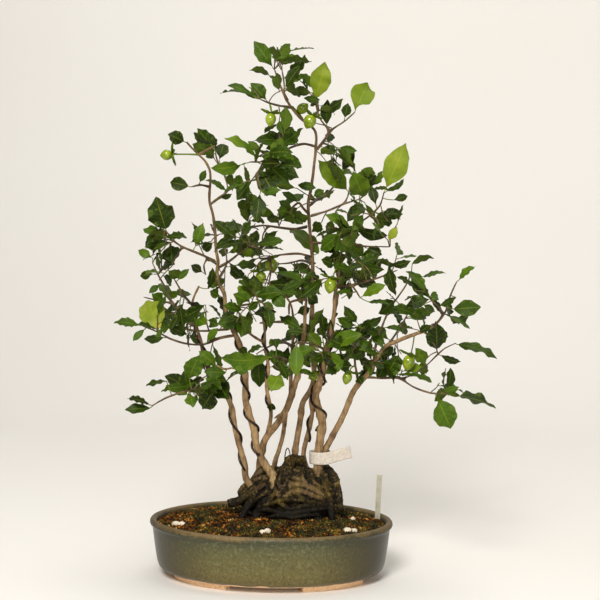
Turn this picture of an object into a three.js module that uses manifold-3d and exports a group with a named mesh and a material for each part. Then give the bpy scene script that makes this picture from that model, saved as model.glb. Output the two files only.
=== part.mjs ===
// Princess persimmon bonsai: a clump of eight thin trunks with their leafy sprays and green fruits,
// rooted in mounded soil in an oval glazed pot.
// Millimetres, +Z up. The pot's long side runs along X and its front faces -Y.

import * as THREE from "three";
import { mergeVertices } from "three/addons/utils/BufferGeometryUtils.js";
import Module from "manifold-3d";

const wasm = await Module();
wasm.setup();

// Driving dimensions of the pot and its filling
const POT_LENGTH = 300;
const POT_WIDTH = 224;
const POT_HEIGHT = 71;
const FOOT_HEIGHT = 7;
const FOOT_RING_INSET = 26;
const FOOT_RING_WIDTH = 13;
const FOOT_ANGLES = [22, 70];
const DRAIN_SPACING = 130;
const DRAIN_RADIUS = 10;
const DRAIN_FLOOR_Z = 15;
const SOIL_EDGE_Z = 65;
const SOIL_MIDDLE_Z = 76;
const SEAT_GAP = 0.3;

// Driving dimensions of the plant
const TWIG_TIP_RADIUS = 0.8;
const LEAF_SHAPE = 0.5;
const LEAF_BROADEST = 0.62;
const LEAF_RIB_THICKNESS = 1.2;
const LARGE_LEAF = 42;
const PETIOLE_WIDTH = 1.3;
const PETIOLE_LENGTH = 3.5;
const LEAF_CLEARANCE = 0.35;
const WIRE_RADIUS = 1.3;

// Line of sight: the plant's routes are points [x, y] of a 600 x 600 view of the bonsai from the front,
// and a depth in millimetres behind the pot's middle gives each its place in space.
const VIEW_MIDDLE = 300;
const VIEW_FOCAL = 1450;
const VIEW_DISTANCE = 1770;
const VIEW_RIGHT = 33.4;
const VIEW_HEIGHT = 457;
const VIEW_TURN = THREE.MathUtils.degToRad(4.5);
const VIEW_PITCH = THREE.MathUtils.degToRad(3.75);
const VIEW_ROLL = THREE.MathUtils.degToRad(0.5);

const UP = new THREE.Vector3(0, 0, 1);
const ahead = new THREE.Vector3(-Math.sin(VIEW_TURN), Math.cos(VIEW_TURN), 0);
const levelRight = new THREE.Vector3(Math.cos(VIEW_TURN), Math.sin(VIEW_TURN), 0);
const sight = ahead.clone().multiplyScalar(Math.cos(VIEW_PITCH)).addScaledVector(UP, -Math.sin(VIEW_PITCH));
const levelUp = levelRight.clone().cross(sight);
const viewRight = levelRight.clone().multiplyScalar(Math.cos(VIEW_ROLL))
  .addScaledVector(levelUp, Math.sin(VIEW_ROLL));
const viewUp = levelUp.clone().multiplyScalar(Math.cos(VIEW_ROLL))
  .addScaledVector(levelRight, -Math.sin(VIEW_ROLL));
const eye = ahead.clone().multiplyScalar(-VIEW_DISTANCE).addScaledVector(levelRight, VIEW_RIGHT)
  .addScaledVector(UP, VIEW_HEIGHT);

// The place in space of a view point at a depth.
function seen(x, y, depth) {
  const ray = sight.clone()
    .addScaledVector(viewRight, (x - VIEW_MIDDLE) / VIEW_FOCAL)
    .addScaledVector(viewUp, (VIEW_MIDDLE - y) / VIEW_FOCAL);
  return eye.clone().addScaledVector(ray, (depth + VIEW_DISTANCE) / ray.dot(ahead));
}

// The view point [x, y] of a place in space.
function viewed(point) {
  const offset = point.clone().sub(eye);
  const scale = VIEW_FOCAL / offset.dot(sight);
  return [VIEW_MIDDLE + offset.dot(viewRight) * scale, VIEW_MIDDLE - offset.dot(viewUp) * scale];
}

// Repeatable random draws from 0 to 1.
function seeded(seed) {
  let state = seed >>> 0;
  return () => {
    state = (state + 0x6d2b79f5) >>> 0;
    let mixed = Math.imul(state ^ (state >>> 15), state | 1);
    mixed ^= mixed + Math.imul(mixed ^ (mixed >>> 7), mixed | 61);
    return ((mixed ^ (mixed >>> 14)) >>> 0) / 4294967296;
  };
}

// Solids

// A closed body from its points and triangles, turned face out.
function bodyOf(points, triangles) {
  const vertProperties = new Float32Array(points.flatMap((p) => [p.x, p.y, p.z]));
  const faces = triangles.flat();
  const made = new wasm.Manifold(
    new wasm.Mesh({ numProp: 3, vertProperties, triVerts: new Uint32Array(faces) }),
  );
  if (made.volume() > 0) return made;
  const turned = triangles.flatMap(([a, b, c]) => [a, c, b]);
  return new wasm.Manifold(
    new wasm.Mesh({ numProp: 3, vertProperties, triVerts: new Uint32Array(turned) }),
  );
}

// A closed body from a three.js geometry.
function bodyOfGeometry(geometry) {
  const bare = geometry.clone();
  bare.deleteAttribute("normal");
  bare.deleteAttribute("uv");
  const merged = mergeVertices(bare, 1e-4);
  return new wasm.Manifold(
    new wasm.Mesh({
      numProp: 3,
      vertProperties: merged.attributes.position.array,
      triVerts: new Uint32Array(merged.index.array),
    }),
  );
}

// A body lofted through rings of equal count, with flat fans over its two ends.
function lofted(rings) {
  const count = rings[0].length;
  const triangles = [];
  for (let r = 0; r + 1 < rings.length; r++) {
    for (let i = 0; i < count; i++) {
      const j = (i + 1) % count;
      const [a, b] = [r * count + i, r * count + j];
      triangles.push([a, b, b + count], [a, b + count, a + count]);
    }
  }
  const last = (rings.length - 1) * count;
  for (let i = 1; i + 1 < count; i++) {
    triangles.push([0, i + 1, i], [last, last + i, last + i + 1]);
  }
  return bodyOf(rings.flat(), triangles);
}

function joined(bodies) {
  return wasm.Manifold.union(bodies);
}

// The largest of a body's separate bodies.
function largest(body) {
  return body.decompose().reduce((best, piece) => (piece.volume() > best.volume() ? piece : best));
}

const bonsai = new THREE.Group();

function addPiece(name, body, color, roughness, metalness = 0) {
  const { vertProperties, triVerts } = body.getMesh();
  const geometry = new THREE.BufferGeometry()
    .setAttribute("position", new THREE.BufferAttribute(vertProperties, 3))
    .setIndex(new THREE.BufferAttribute(triVerts, 1));
  geometry.computeVertexNormals();
  const material = new THREE.MeshStandardMaterial({ color, roughness, metalness, flatShading: true });
  const mesh = new THREE.Mesh(geometry, material);
  mesh.name = name;
  bonsai.add(mesh);
}

// Pot

const POT_SIDES = 26;

// One level oval of the pot, inset from its rim.
function oval(inset, z, sides = POT_SIDES) {
  return Array.from({ length: sides }, (_, i) => {
    const angle = (i / sides) * 2 * Math.PI;
    const along = (POT_LENGTH / 2 - inset) * Math.cos(angle);
    const across = (POT_WIDTH / 2 - inset) * Math.sin(angle);
    return new THREE.Vector3(along, across, z);
  });
}

// Wall profiles as [inset from the rim, height]
const POT_OUTSIDE = [[60, FOOT_HEIGHT], [20, FOOT_HEIGHT], [11, 13], [7.8, 26], [4.8, 48], [3.2, 62],
  [0, 66]];
const POT_LIP = [[1.2, 70], [4.6, POT_HEIGHT], [8.6, 68]];
const POT_INSIDE = [[10.5, 50], [15, 26], [30, DRAIN_FLOOR_Z], [60, DRAIN_FLOOR_Z]];

function foot(startDegrees, endDegrees) {
  const steps = 4;
  const rings = [];
  for (let i = 0; i <= steps; i++) {
    const angle = THREE.MathUtils.degToRad(THREE.MathUtils.lerp(startDegrees, endDegrees, i / steps));
    const at = (inset, z) => new THREE.Vector3(
      (POT_LENGTH / 2 - inset) * Math.cos(angle), (POT_WIDTH / 2 - inset) * Math.sin(angle), z);
    const inner = FOOT_RING_INSET + FOOT_RING_WIDTH;
    const top = FOOT_HEIGHT + 2;
    rings.push([at(FOOT_RING_INSET, 0), at(inner, 0), at(inner, top), at(FOOT_RING_INSET - 1.5, top)]);
  }
  return lofted(rings);
}

function cylinder(radius, bottom, top, x, y, sides = 10) {
  const geometry = new THREE.CylinderGeometry(radius, radius, top - bottom, sides)
    .rotateX(Math.PI / 2)
    .translate(x, y, (top + bottom) / 2);
  return bodyOfGeometry(geometry);
}

const drainPlaces = [-DRAIN_SPACING / 2, DRAIN_SPACING / 2];

function makePot() {
  const bowl = lofted([...POT_OUTSIDE, ...POT_LIP, ...POT_INSIDE].map(([inset, z]) => oval(inset, z)));
  const feet = [90, 270].flatMap((middle) => [
    foot(middle - FOOT_ANGLES[1], middle - FOOT_ANGLES[0]),
    foot(middle + FOOT_ANGLES[0], middle + FOOT_ANGLES[1]),
  ]);
  const holes = drainPlaces.map((x) => cylinder(DRAIN_RADIUS, 0, DRAIN_FLOOR_Z + 5, x, 0));
  return joined([bowl, ...feet]).subtract(joined(holes));
}

// A square plastic mesh that lies over a drain hole, its openings cut right through.
const MESH_SIZE = 30;
const MESH_THICKNESS = 1.4;
const MESH_OPENING = 7;
const MESH_PITCH = 5;

function makeDrainMesh(x) {
  const bottom = DRAIN_FLOOR_Z + SEAT_GAP;
  const plate = bodyOfGeometry(
    new THREE.BoxGeometry(MESH_SIZE, MESH_SIZE, MESH_THICKNESS).translate(x, 0, bottom + MESH_THICKNESS / 2));
  const openings = [];
  for (const i of [-1, 1]) {
    for (const j of [-1, 1]) {
      openings.push(bodyOfGeometry(
        new THREE.BoxGeometry(MESH_OPENING, MESH_OPENING, 3 * MESH_THICKNESS)
          .translate(x + i * MESH_PITCH, j * MESH_PITCH, bottom)));
    }
  }
  return plate.subtract(joined(openings));
}

// Soil: it fills the pot up to the wall and mounds up to the foot of the trunks.
const SOIL_RINGS = [1, 0.78, 0.52, 0.02];

function soilHeight(x, y) {
  const reach = Math.min(1, Math.hypot(x / (POT_LENGTH / 2 - 10), y / (POT_WIDTH / 2 - 10)));
  const mound = Math.cos((reach * Math.PI) / 2) ** 0.8;
  const lumps = 0.9 * Math.sin(x / 17 + 1.3) * Math.cos(y / 13) + 0.6 * Math.sin(x / 7.5 - y / 9);
  return THREE.MathUtils.lerp(SOIL_EDGE_Z, SOIL_MIDDLE_Z, mound) + lumps * (1 - 0.5 * reach);
}

function makeSoil() {
  const meshTop = DRAIN_FLOOR_Z + 2 * SEAT_GAP + MESH_THICKNESS;
  const walls = [[60, meshTop], [28, meshTop], [15.6, 26.8], [11, 50.2]];
  const rings = walls.map(([inset, z]) => oval(inset, z));
  for (const share of SOIL_RINGS) {
    const edge = oval(9.6, 0).map((p) => new THREE.Vector3(p.x * share, p.y * share, 0));
    for (const p of edge) p.z = soilHeight(p.x, p.y);
    rings.push(edge);
  }
  return lofted(rings);
}

// Wood

// Each limb: route of view points from its foot to its end, depths and radii spread evenly along it.
const TRUNKS = {
  outerLeft: {
    radii: [3.8, 3.3, 2.8, 1.4],
    depths: [0, -12, -30],
    route: [[258, 494], [246, 478], [244.5, 463], [239.5, 446], [235, 428], [232.5, 411], [229, 400], [221, 388],
      [212, 375], [205, 360], [202, 346], [196, 326], [192, 314], [193, 300], [199, 286]],
  },
  tallLeft: {
    radii: [4.8, 4, 3, 2.4, 1.6],
    depths: [-6, -16, -15, -12, -15],
    route: [[278, 492], [276, 481], [266.7, 467], [260, 455], [256, 443], [254, 430], [249, 413], [245.3, 399],
      [245.7, 385], [245, 372], [239, 342], [231.5, 327], [226, 312], [224, 293], [218, 282], [217, 272],
      [218, 262], [216, 249], [215, 230], [213, 215], [209.5, 201], [210.5, 177], [209.5, 169.5], [205, 161],
      [199, 155], [191, 147], [186.5, 142]],
  },
  forkRight: {
    radii: [4.4, 4.2, 3.4, 1.5],
    depths: [12, 8, -4],
    route: [[261, 488], [260, 465], [263.7, 443], [268, 435], [277, 424], [285, 412], [290.5, 399], [295, 384],
      [298, 375], [300, 355], [304, 335], [305, 314], [306, 295], [302, 286]],
  },
  forkLeft: {
    radii: [2.6, 2.3, 2, 1.1],
    depths: [11, 16, 24],
    route: [[263.7, 445], [267.5, 433], [270.5, 420], [271, 413], [269, 400], [266.7, 389], [266.7, 380],
      [268.6, 369], [265, 347], [264.5, 328], [262, 315], [258, 300]],
  },
  slender: {
    radii: [2.8, 2.6, 2.3, 1.2],
    depths: [26, 34, 50],
    route: [[274, 480], [275, 462], [279, 450], [283, 435], [285, 420], [287.4, 404], [290.5, 393], [290.8, 375],
      [293, 337], [293, 318], [291, 305], [285, 295]],
  },
  tallest: {
    radii: [4, 3.4, 3.2, 2.6, 1.9],
    depths: [20, 36, 30, 20, 10],
    route: [[295, 474], [295, 453.5], [297, 439], [300.4, 420], [302.7, 403], [310, 391], [313.4, 382],
      [314, 370], [312, 350], [310.5, 333], [312, 313], [312.5, 294], [312.8, 280], [312.3, 256], [310.4, 236],
      [309, 219], [308.3, 203], [311, 189], [313, 175], [314.2, 164], [315.7, 149], [315, 131], [300, 118],
      [291, 107], [287, 100.6]],
  },
  leaningRight: {
    radii: [3, 2.6, 2.2],
    depths: [14, 30, 62],
    route: [[305, 484], [305.4, 466], [303.5, 454], [306.5, 439], [310.4, 424], [312.3, 412], [311, 402],
      [313, 396], [317, 385], [321, 375], [325, 350], [331, 330], [338, 294]],
  },
  thickRight: {
    radii: [5.6, 5, 3.6, 2.6, 1.2],
    depths: [-2, -8, -24, -40],
    route: [[317, 482], [318, 462], [318.8, 450], [320, 439], [322.4, 424], [320, 413], [316.5, 403],
      [315.7, 395], [318, 387], [321, 379], [323, 370], [327, 350], [331, 333], [334.5, 309], [334.5, 299],
      [338, 280], [340, 262], [342, 240]],
  },
  farRight: {
    radii: [4, 3.4, 2.4],
    depths: [6, -14, -44],
    route: [[322, 480], [322, 460], [324, 453], [332, 437], [340, 422], [347, 407], [353, 392], [360.5, 382],
      [370, 371.5], [375, 360], [379, 355], [386, 346], [393, 343], [407, 337], [424.6, 331]],
  },
};

// Roots: gnarled strands that run over the root mass into the soil.
const ROOTS = [
  { radii: [8, 5], depths: [0, -8], route: [[264, 484], [250, 492], [240, 500], [228, 504]] },
  { radii: [7, 4], depths: [-4, -20], route: [[268, 480], [258, 492], [248, 506], [240, 520]] },
  { radii: [8, 4.5], depths: [-6, -23], route: [[275, 478], [268, 494], [261, 508], [254, 521]] },
  { radii: [9, 6], depths: [-4, -27], route: [[287, 466], [286, 482], [283, 500], [279, 524]] },
  { radii: [8, 5], depths: [-4, -27], route: [[299, 468], [301, 482], [301, 500], [304, 524]] },
  { radii: [8, 5], depths: [-2, -25], route: [[308, 470], [311, 484], [313, 500], [318, 523]] },
  { radii: [7.5, 4.5], depths: [0, -20], route: [[318, 468], [325, 480], [329, 496], [332, 520]] },
  { radii: [6.5, 4], depths: [4, -16], route: [[324, 468], [334, 477], [338, 492], [341, 511]] },
  { radii: [7, 4], depths: [16, 46], route: [[312, 476], [322, 482], [328, 490], [333, 500]] },
  { radii: [8, 5], depths: [16, 58], route: [[300, 474], [305, 480], [308, 488], [310, 496]] },
  { radii: [8, 5], depths: [16, 60], route: [[288, 474], [284, 480], [280, 488], [278, 496]] },
  { radii: [8, 5.5], depths: [2, 20], route: [[287, 468], [292, 461], [300, 461], [306, 470]] },
];
const ROOT_HEART = { x: 288, y: 497, depth: 13, along: 56, across: 37, height: 36 };
const ROOT_BOTTOM_Z = 57;

// A closed tapering tube along a smooth curve through points, with samples of its middle line.
function limb(points, radii, sides, spacing = 14, extra = 0) {
  const curve = new THREE.CatmullRomCurve3(points, false, "centripetal");
  const steps = Math.max(2, Math.round(curve.getLength() / spacing));
  const radiusAt = (share) => {
    const place = share * (radii.length - 1);
    const low = Math.min(Math.floor(place), radii.length - 2);
    return THREE.MathUtils.lerp(radii[low], radii[low + 1], place - low) + extra;
  };
  const frames = curve.computeFrenetFrames(steps);
  const rings = [];
  const middles = curve.getSpacedPoints(steps);
  for (let s = 0; s <= steps; s++) {
    const middle = middles[s];
    const radius = radiusAt(s / steps);
    rings.push(Array.from({ length: sides }, (_, i) => {
      const angle = ((i + 0.5 * (s % 2)) / sides) * 2 * Math.PI;
      return middle.clone()
        .addScaledVector(frames.normals[s], radius * Math.cos(angle))
        .addScaledVector(frames.binormals[s], radius * Math.sin(angle));
    }));
  }
  return { curve, middles, radiusAt, body: lofted(rings) };
}

// A place on the straight stretches between a limb's sections, by its share of the limb.
function placeOn(one, share) {
  const place = share * (one.middles.length - 1);
  const low = Math.min(Math.floor(place), one.middles.length - 2);
  return one.middles[low].clone().lerp(one.middles[low + 1], place - low);
}

// The points in space of a view route whose depths are spread evenly along it.
function routeInSpace(route, depths) {
  const reach = [0];
  for (let i = 1; i < route.length; i++) {
    reach.push(reach[i - 1] + Math.hypot(route[i][0] - route[i - 1][0], route[i][1] - route[i - 1][1]));
  }
  return route.map(([x, y], i) => {
    const place = (reach[i] / reach.at(-1)) * (depths.length - 1);
    const low = Math.min(Math.floor(place), depths.length - 2);
    return seen(x, y, THREE.MathUtils.lerp(depths[low], depths[low + 1], place - low));
  });
}

// A limb with the samples that leaves and fruits look for their place on, and its clearance body.
function grow(spec, sides, spacing) {
  const points = routeInSpace(spec.route, spec.depths);
  const made = limb(points, spec.radii, sides, spacing);
  const clearance = limb(points, spec.radii, sides, spacing, SEAT_GAP + 0.05).body;
  const count = Math.max(6, Math.round(made.curve.getLength() / 3));
  const samples = Array.from({ length: count + 1 }, (_, i) => {
    const share = (i + 0.5) / (count + 1);
    const point = placeOn(made, share);
    const [x, y] = viewed(point);
    return { point, x, y, radius: made.radiusAt(share) };
  });
  return { ...made, clearance, samples };
}

// The lumpy heart of the root mass, a dome whose surface swells and sinks.
function rootHeart(extra = 0) {
  const { x, y, depth, along, across, height } = ROOT_HEART;
  const middle = seen(x, y, depth);
  const dome = new THREE.SphereGeometry(1, 14, 8).rotateX(Math.PI / 2);
  const places = dome.attributes.position;
  for (let i = 0; i < places.count; i++) {
    const [px, py, pz] = [places.getX(i), places.getY(i), places.getZ(i)];
    const swell = 1 + 0.07 * Math.sin(5 * px + 4 * pz) + 0.06 * Math.sin(7 * py - 3 * px + 1);
    places.setXYZ(i,
      middle.x + px * (along + extra) * swell,
      middle.y + py * (across + extra) * swell,
      middle.z + pz * (height + extra) * swell);
  }
  return bodyOfGeometry(dome);
}

const trunkLimbs = Object.fromEntries(
  Object.entries(TRUNKS).map(([name, spec]) => [name, grow(spec, 5, 23)]));
const rootLimbs = ROOTS.map((spec) => grow(spec, 5, 26));

// The part of a body above a height.
function above(body, z) {
  return body.trimByPlane([0, 0, 1], z);
}

const rootMass = above(joined([rootHeart(), ...rootLimbs.map((root) => root.body)]), ROOT_BOTTOM_Z);
const rootHole = above(
  joined([rootHeart(SEAT_GAP), ...rootLimbs.map((root) => root.clearance)]), ROOT_BOTTOM_Z - SEAT_GAP);

// Training wires, wound round trunks over a share of their length.
const WIRES = {
  wire_outer_left: { on: "outerLeft", span: [0.13, 0.93], turns: 4 },
  wire_tall_left: { on: "tallLeft", span: [0.12, 0.5], turns: 4 },
  wire_fork_left: { on: "forkLeft", span: [0.27, 0.88], turns: 3 },
  wire_leaning_right: { on: "leaningRight", span: [0.22, 0.9], turns: 4 },
  wire_thick_right: { on: "thickRight", span: [0.21, 0.64], turns: 3 },
};
const WIRE_SIDES = 4;
const WIRE_STEPS_PER_TURN = 8;
const WIRE_STAND_OFF = 0.8;
const FRAME_STEPS = 200;
const WIRE_PHASES = 24;

function makeWire({ on, span, turns }, phase, extra = 0) {
  const trunk = trunkLimbs[on];
  const steps = turns * WIRE_STEPS_PER_TURN;
  const frames = trunk.curve.computeFrenetFrames(FRAME_STEPS);
  const points = Array.from({ length: steps + 1 }, (_, i) => {
    const share = THREE.MathUtils.lerp(span[0], span[1], i / steps);
    const angle = (phase + (turns * i) / steps) * 2 * Math.PI;
    const frame = Math.round(share * FRAME_STEPS);
    const reach = trunk.radiusAt(share) + WIRE_RADIUS + WIRE_STAND_OFF;
    return placeOn(trunk, share)
      .addScaledVector(frames.normals[frame], reach * Math.cos(angle))
      .addScaledVector(frames.binormals[frame], reach * Math.sin(angle));
  });
  const middle = new THREE.CatmullRomCurve3(points);
  const along = middle.computeFrenetFrames(steps);
  const rings = points.map((_, s) => Array.from({ length: WIRE_SIDES }, (_, i) => {
    const angle = (i / WIRE_SIDES) * 2 * Math.PI;
    return middle.getPoint(s / steps)
      .addScaledVector(along.normals[s], (WIRE_RADIUS + extra) * Math.cos(angle))
      .addScaledVector(along.binormals[s], (WIRE_RADIUS + extra) * Math.sin(angle));
  }));
  return lofted(rings);
}

// Spurs: short shoots that belong to the trunks' wood. Each starts on the named limb and ends at a depth.
const SPURS = [
  { on: "tallLeft", end: -2, route: [[200, 155], [207, 150], [215, 146]] },
  { on: "tallest", end: -12, route: [[308.5, 214], [303, 208], [299, 203], [293, 207], [290, 213]] },
  { on: "forkLeft", end: -25, route: [[264, 344], [256, 338], [247, 331], [243, 323], [246, 317]] },
  { on: "slender", end: 70, route: [[293, 321], [273.6, 322], [260, 323]] },
  { on: "forkRight", end: -30, route: [[305, 300], [298, 300], [290, 303], [289, 314]] },
  { on: "outerLeft", end: -45, route: [[209, 370], [216, 366], [224, 369], [232, 368]] },
  { on: "forkRight", end: -18, route: [[283, 414], [279, 415], [275, 418]] },
];

// Sprays: each starts on the named trunk; a later twig starts on an earlier one of its spray.
const SPRAYS = {
  spray_low_left: { on: "outerLeft", twigs: [
    { end: -75, route: [[221, 388], [200, 388], [176, 394], [161, 400], [152, 406]] },
  ] },
  spray_left_front: { on: "tallLeft", twigs: [
    { end: -70, route: [[232, 336], [215, 339], [205, 345], [192, 345], [185.6, 344], [172, 340], [163, 335],
      [150, 328], [141, 325]] },
    { end: -20, route: [[215, 339], [208, 330], [206, 318]] },
  ] },
  spray_left_back: { on: "tallLeft", twigs: [
    { end: 60, route: [[231, 328], [209.5, 331], [201, 331], [188.4, 330], [172, 322], [167, 309]] },
  ] },
  spray_left_rising: { on: "outerLeft", twigs: [
    { end: -85, route: [[192.5, 304], [187, 300], [180, 289], [174, 279]] },
  ] },
  spray_left_tall: { on: "outerLeft", twigs: [
    { end: 30, route: [[194, 315], [186, 312], [175, 308], [170, 300], [166, 288], [159, 277], [152, 262]] },
    { end: 0, route: [[172, 304], [160, 301], [152, 299], [143, 297]] },
  ] },
  spray_upper_left: { on: "tallLeft", twigs: [
    { end: -60, route: [[216, 262], [207, 257], [195, 252], [184.6, 248], [169, 238], [166, 231]] },
    { end: -40, route: [[183, 247], [176, 256], [172, 266]] },
    { end: -10, route: [[207, 257], [203, 265], [206, 275]] },
  ] },
  spray_shoulder_left: { on: "tallLeft", twigs: [
    { end: -55, route: [[211, 187], [204, 184], [196, 186], [191, 187]] },
  ] },
  spray_shoulder_back: { on: "tallLeft", twigs: [
    { end: 55, route: [[213, 203], [220, 197], [229, 191], [226, 180], [223, 172]] },
  ] },
  spray_crown_left: { on: "tallest", twigs: [
    { end: -75, route: [[315.3, 146], [302, 143], [288, 149], [272, 156], [258, 163], [249, 162]] },
    { end: -90, route: [[264, 160], [258, 170], [256, 180], [261, 190]] },
    { end: -55, route: [[257, 173], [251, 181], [247, 189]] },
  ] },
  spray_middle_left: { on: "tallest", twigs: [
    { end: 65, route: [[309.6, 226], [289, 230], [277, 227], [267, 225], [254, 226], [243, 230], [232, 234],
      [219, 234]] },
    { end: 40, route: [[269, 225], [263, 233], [262, 242]] },
  ] },
  spray_inner_left: { on: "tallest", twigs: [
    { end: -45, route: [[312.3, 256], [298, 253], [281, 255], [268, 257], [258, 262], [253, 271]] },
    { end: -60, route: [[270, 257], [272, 272], [268, 284], [270, 292]] },
  ] },
  spray_left_middle: { on: "tallLeft", twigs: [
    { end: -60, route: [[217.3, 268], [229, 262], [236, 256], [242, 251], [250, 246]] },
  ] },
  spray_left_inner: { on: "tallLeft", twigs: [
    { end: -70, route: [[226, 307], [242, 305], [252, 304], [259, 301]] },
  ] },
  spray_centre_front: { on: "forkRight", twigs: [
    { end: -95, route: [[299, 362], [290, 361], [280, 357], [272, 357]] },
    { end: -75, route: [[283, 359], [284, 366], [281, 371]] },
  ] },
  spray_bright_front: { on: "thickRight", twigs: [
    { end: -110, route: [[326, 354], [324, 349], [318, 346], [308, 343], [296, 342]] },
  ] },
  spray_right_inner: { on: "farRight", twigs: [
    { end: -30, route: [[358, 384], [354.5, 376], [355, 366], [356, 358], [354, 346], [358, 336],
      [362, 327]] },
  ] },
  spray_right_tall: { on: "farRight", twigs: [
    { end: 80, route: [[374, 363], [374, 352], [378, 338], [382, 326], [390, 308], [400, 294], [407, 285],
      [412, 269]] },
  ] },
  spray_right_front: { on: "thickRight", twigs: [
    { end: -105, route: [[337, 288], [348, 286], [357, 284], [372, 280], [386, 275], [398, 270]] },
    { end: -75, route: [[352, 285], [357, 292], [360, 298]] },
  ] },
  spray_upper_right: { on: "tallest", twigs: [
    { end: -85, route: [[311.3, 243], [317, 243], [333, 242], [348, 231], [362, 221], [375, 212], [382, 203],
      [384, 192]] },
    { end: -60, route: [[346, 233], [352, 243], [364, 249], [378, 245], [390, 247]] },
  ] },
  spray_upper_back: { on: "tallest", twigs: [
    { end: 50, route: [[308.7, 216], [325, 212], [340, 206], [352, 199], [360, 199]] },
    { end: 60, route: [[344, 204], [348, 197], [349, 191]] },
  ] },
  spray_low_right: { on: "farRight", twigs: [
    { end: -80, route: [[366, 377], [378, 379], [388, 377], [399, 377], [409, 385], [421, 391], [434, 394],
      [447, 394]] },
    { end: 30, route: [[401, 379], [410, 376], [421, 370.5], [432, 360], [446, 347], [456, 343]] },
    { end: 20, route: [[438, 354], [437, 351]] },
  ] },
  spray_far_right: { on: "farRight", twigs: [
    { end: -95, route: [[421, 332], [436, 325], [444, 317], [447, 307], [451, 292], [457, 281]] },
    { end: -70, route: [[445, 314], [438, 306], [431, 300]] },
  ] },
  spray_top_right: { on: "tallest", twigs: [
    { end: 55, route: [[315.5, 152], [325, 139], [329, 131], [336, 127], [345, 121.5], [355, 112]] },
    { end: 5, route: [[329, 131], [324, 124.5], [317.6, 117], [316.5, 108], [315.5, 100]] },
    { end: 60, route: [[323, 142], [331, 146], [337, 147.5]] },
  ] },
  spray_apex: { on: "tallest", twigs: [
    { end: 0, route: [[287, 101], [282, 90], [277.4, 78.6], [274.5, 69]] },
    { end: 25, route: [[289, 104], [286.5, 92], [284, 82], [282, 70]] },
  ] },
  spray_apex_left: { on: "tallest", twigs: [
    { end: -45, route: [[292, 109], [280, 106], [268, 103], [256, 97]] },
  ] },
};

// Sprays that turn away from the view. Their leaves stand alternately along them by rule.
const BACK_SPRAYS = {
  spray_behind_left: { on: "tallLeft", leaves: 5, twigs: [
    { end: 125, route: [[218, 280], [223, 272], [227, 262], [224, 246]] },
  ] },
  spray_behind_middle: { on: "tallest", leaves: 5, twigs: [
    { end: 145, route: [[312.5, 264], [302, 260], [290, 263], [274, 264]] },
  ] },
  spray_behind_upper: { on: "tallest", leaves: 5, twigs: [
    { end: 120, route: [[308.6, 208], [316, 200], [330, 191], [342, 176]] },
  ] },
  spray_behind_right: { on: "thickRight", leaves: 5, twigs: [
    { end: 125, route: [[337.6, 282], [348, 272], [360, 264], [374, 258]] },
  ] },
  spray_behind_far_right: { on: "farRight", leaves: 5, twigs: [
    { end: 115, route: [[384, 349], [393, 338], [402, 324], [410, 310]] },
  ] },
  spray_behind_far_left: { on: "outerLeft", leaves: 5, twigs: [
    { end: 120, route: [[196, 326], [186, 322], [177, 312], [168, 296]] },
  ] },
  spray_behind_low: { on: "slender", leaves: 5, twigs: [
    { end: 145, route: [[292.5, 345], [284, 342], [270, 346], [256, 354]] },
  ] },
  spray_behind_centre: { on: "leaningRight", leaves: 5, twigs: [
    { end: 150, route: [[329, 337], [338, 336], [350, 341], [364, 350]] },
  ] },
};

// Leaves: each as [x, y of its foot, x, y of its tip, width as seen], in view points.
const LEAVES_UPPER_LEFT = [
  [187, 141, 168, 134, 14], [215, 143, 194, 133, 6], [219, 160, 224, 143, 14], [255, 156, 225, 138, 9],
  [246, 163, 211, 169, 12], [223, 173, 233, 191, 4], [199, 188, 206, 170, 7], [191, 187, 170, 182, 14],
  [229, 191, 204, 179, 5], [214, 200, 232, 194, 5], [166, 231, 156, 197, 27],
  [172, 243, 145, 247, 12], [153, 258, 138, 250, 9], [172, 268, 171, 246, 18], [195, 247, 203, 223, 12],
  [219, 233, 190, 242, 6], [253, 226, 217, 230, 9], [213, 241, 203, 250, 10], [236, 240, 215, 246, 11],
  [246, 238, 233, 252, 12], [206, 275, 191, 265, 9], [299, 142, 252, 141, 14],
  [285, 152, 300, 168, 10], [258, 168, 275, 196, 22], [263, 160, 289, 184, 20], [362, 187, 376, 175, 13],
  [255, 177, 237, 200, 14], [247, 190, 232, 183, 10],
  [262, 190, 256, 222, 16], [264, 193, 281, 190, 8], [298, 185, 316, 188, 9], [311, 201, 324, 190, 9],
  [300, 203, 282, 192, 7], [292, 207, 279, 201, 8], [290, 212, 277, 210, 9], [294, 217, 303, 224, 9],
  [318, 254, 289, 228, 12], [245, 250, 258, 240, 12], [262, 243, 277, 243, 12],
];
const LEAVES_CROWN = [
  [275, 68, 254, 41, 16], [282, 66, 282, 47, 14], [282, 79, 306, 56, 9], [277, 82, 250, 69, 5],
  [286, 86, 304, 76, 7], [316, 100, 325, 62, 21],
  [304, 98, 320, 100, 7], [321, 115, 343, 99, 9], [256, 96, 228, 85, 8], [270, 101, 251, 83, 15],
  [260, 99, 220, 93, 4], [355, 112, 368, 83, 24],
  [343, 121, 348, 103, 10], [328, 145, 331, 133, 10], [319, 149, 336, 152, 10], [336, 148, 357, 151, 8],
  [348, 190, 318, 160, 20],
];
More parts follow.
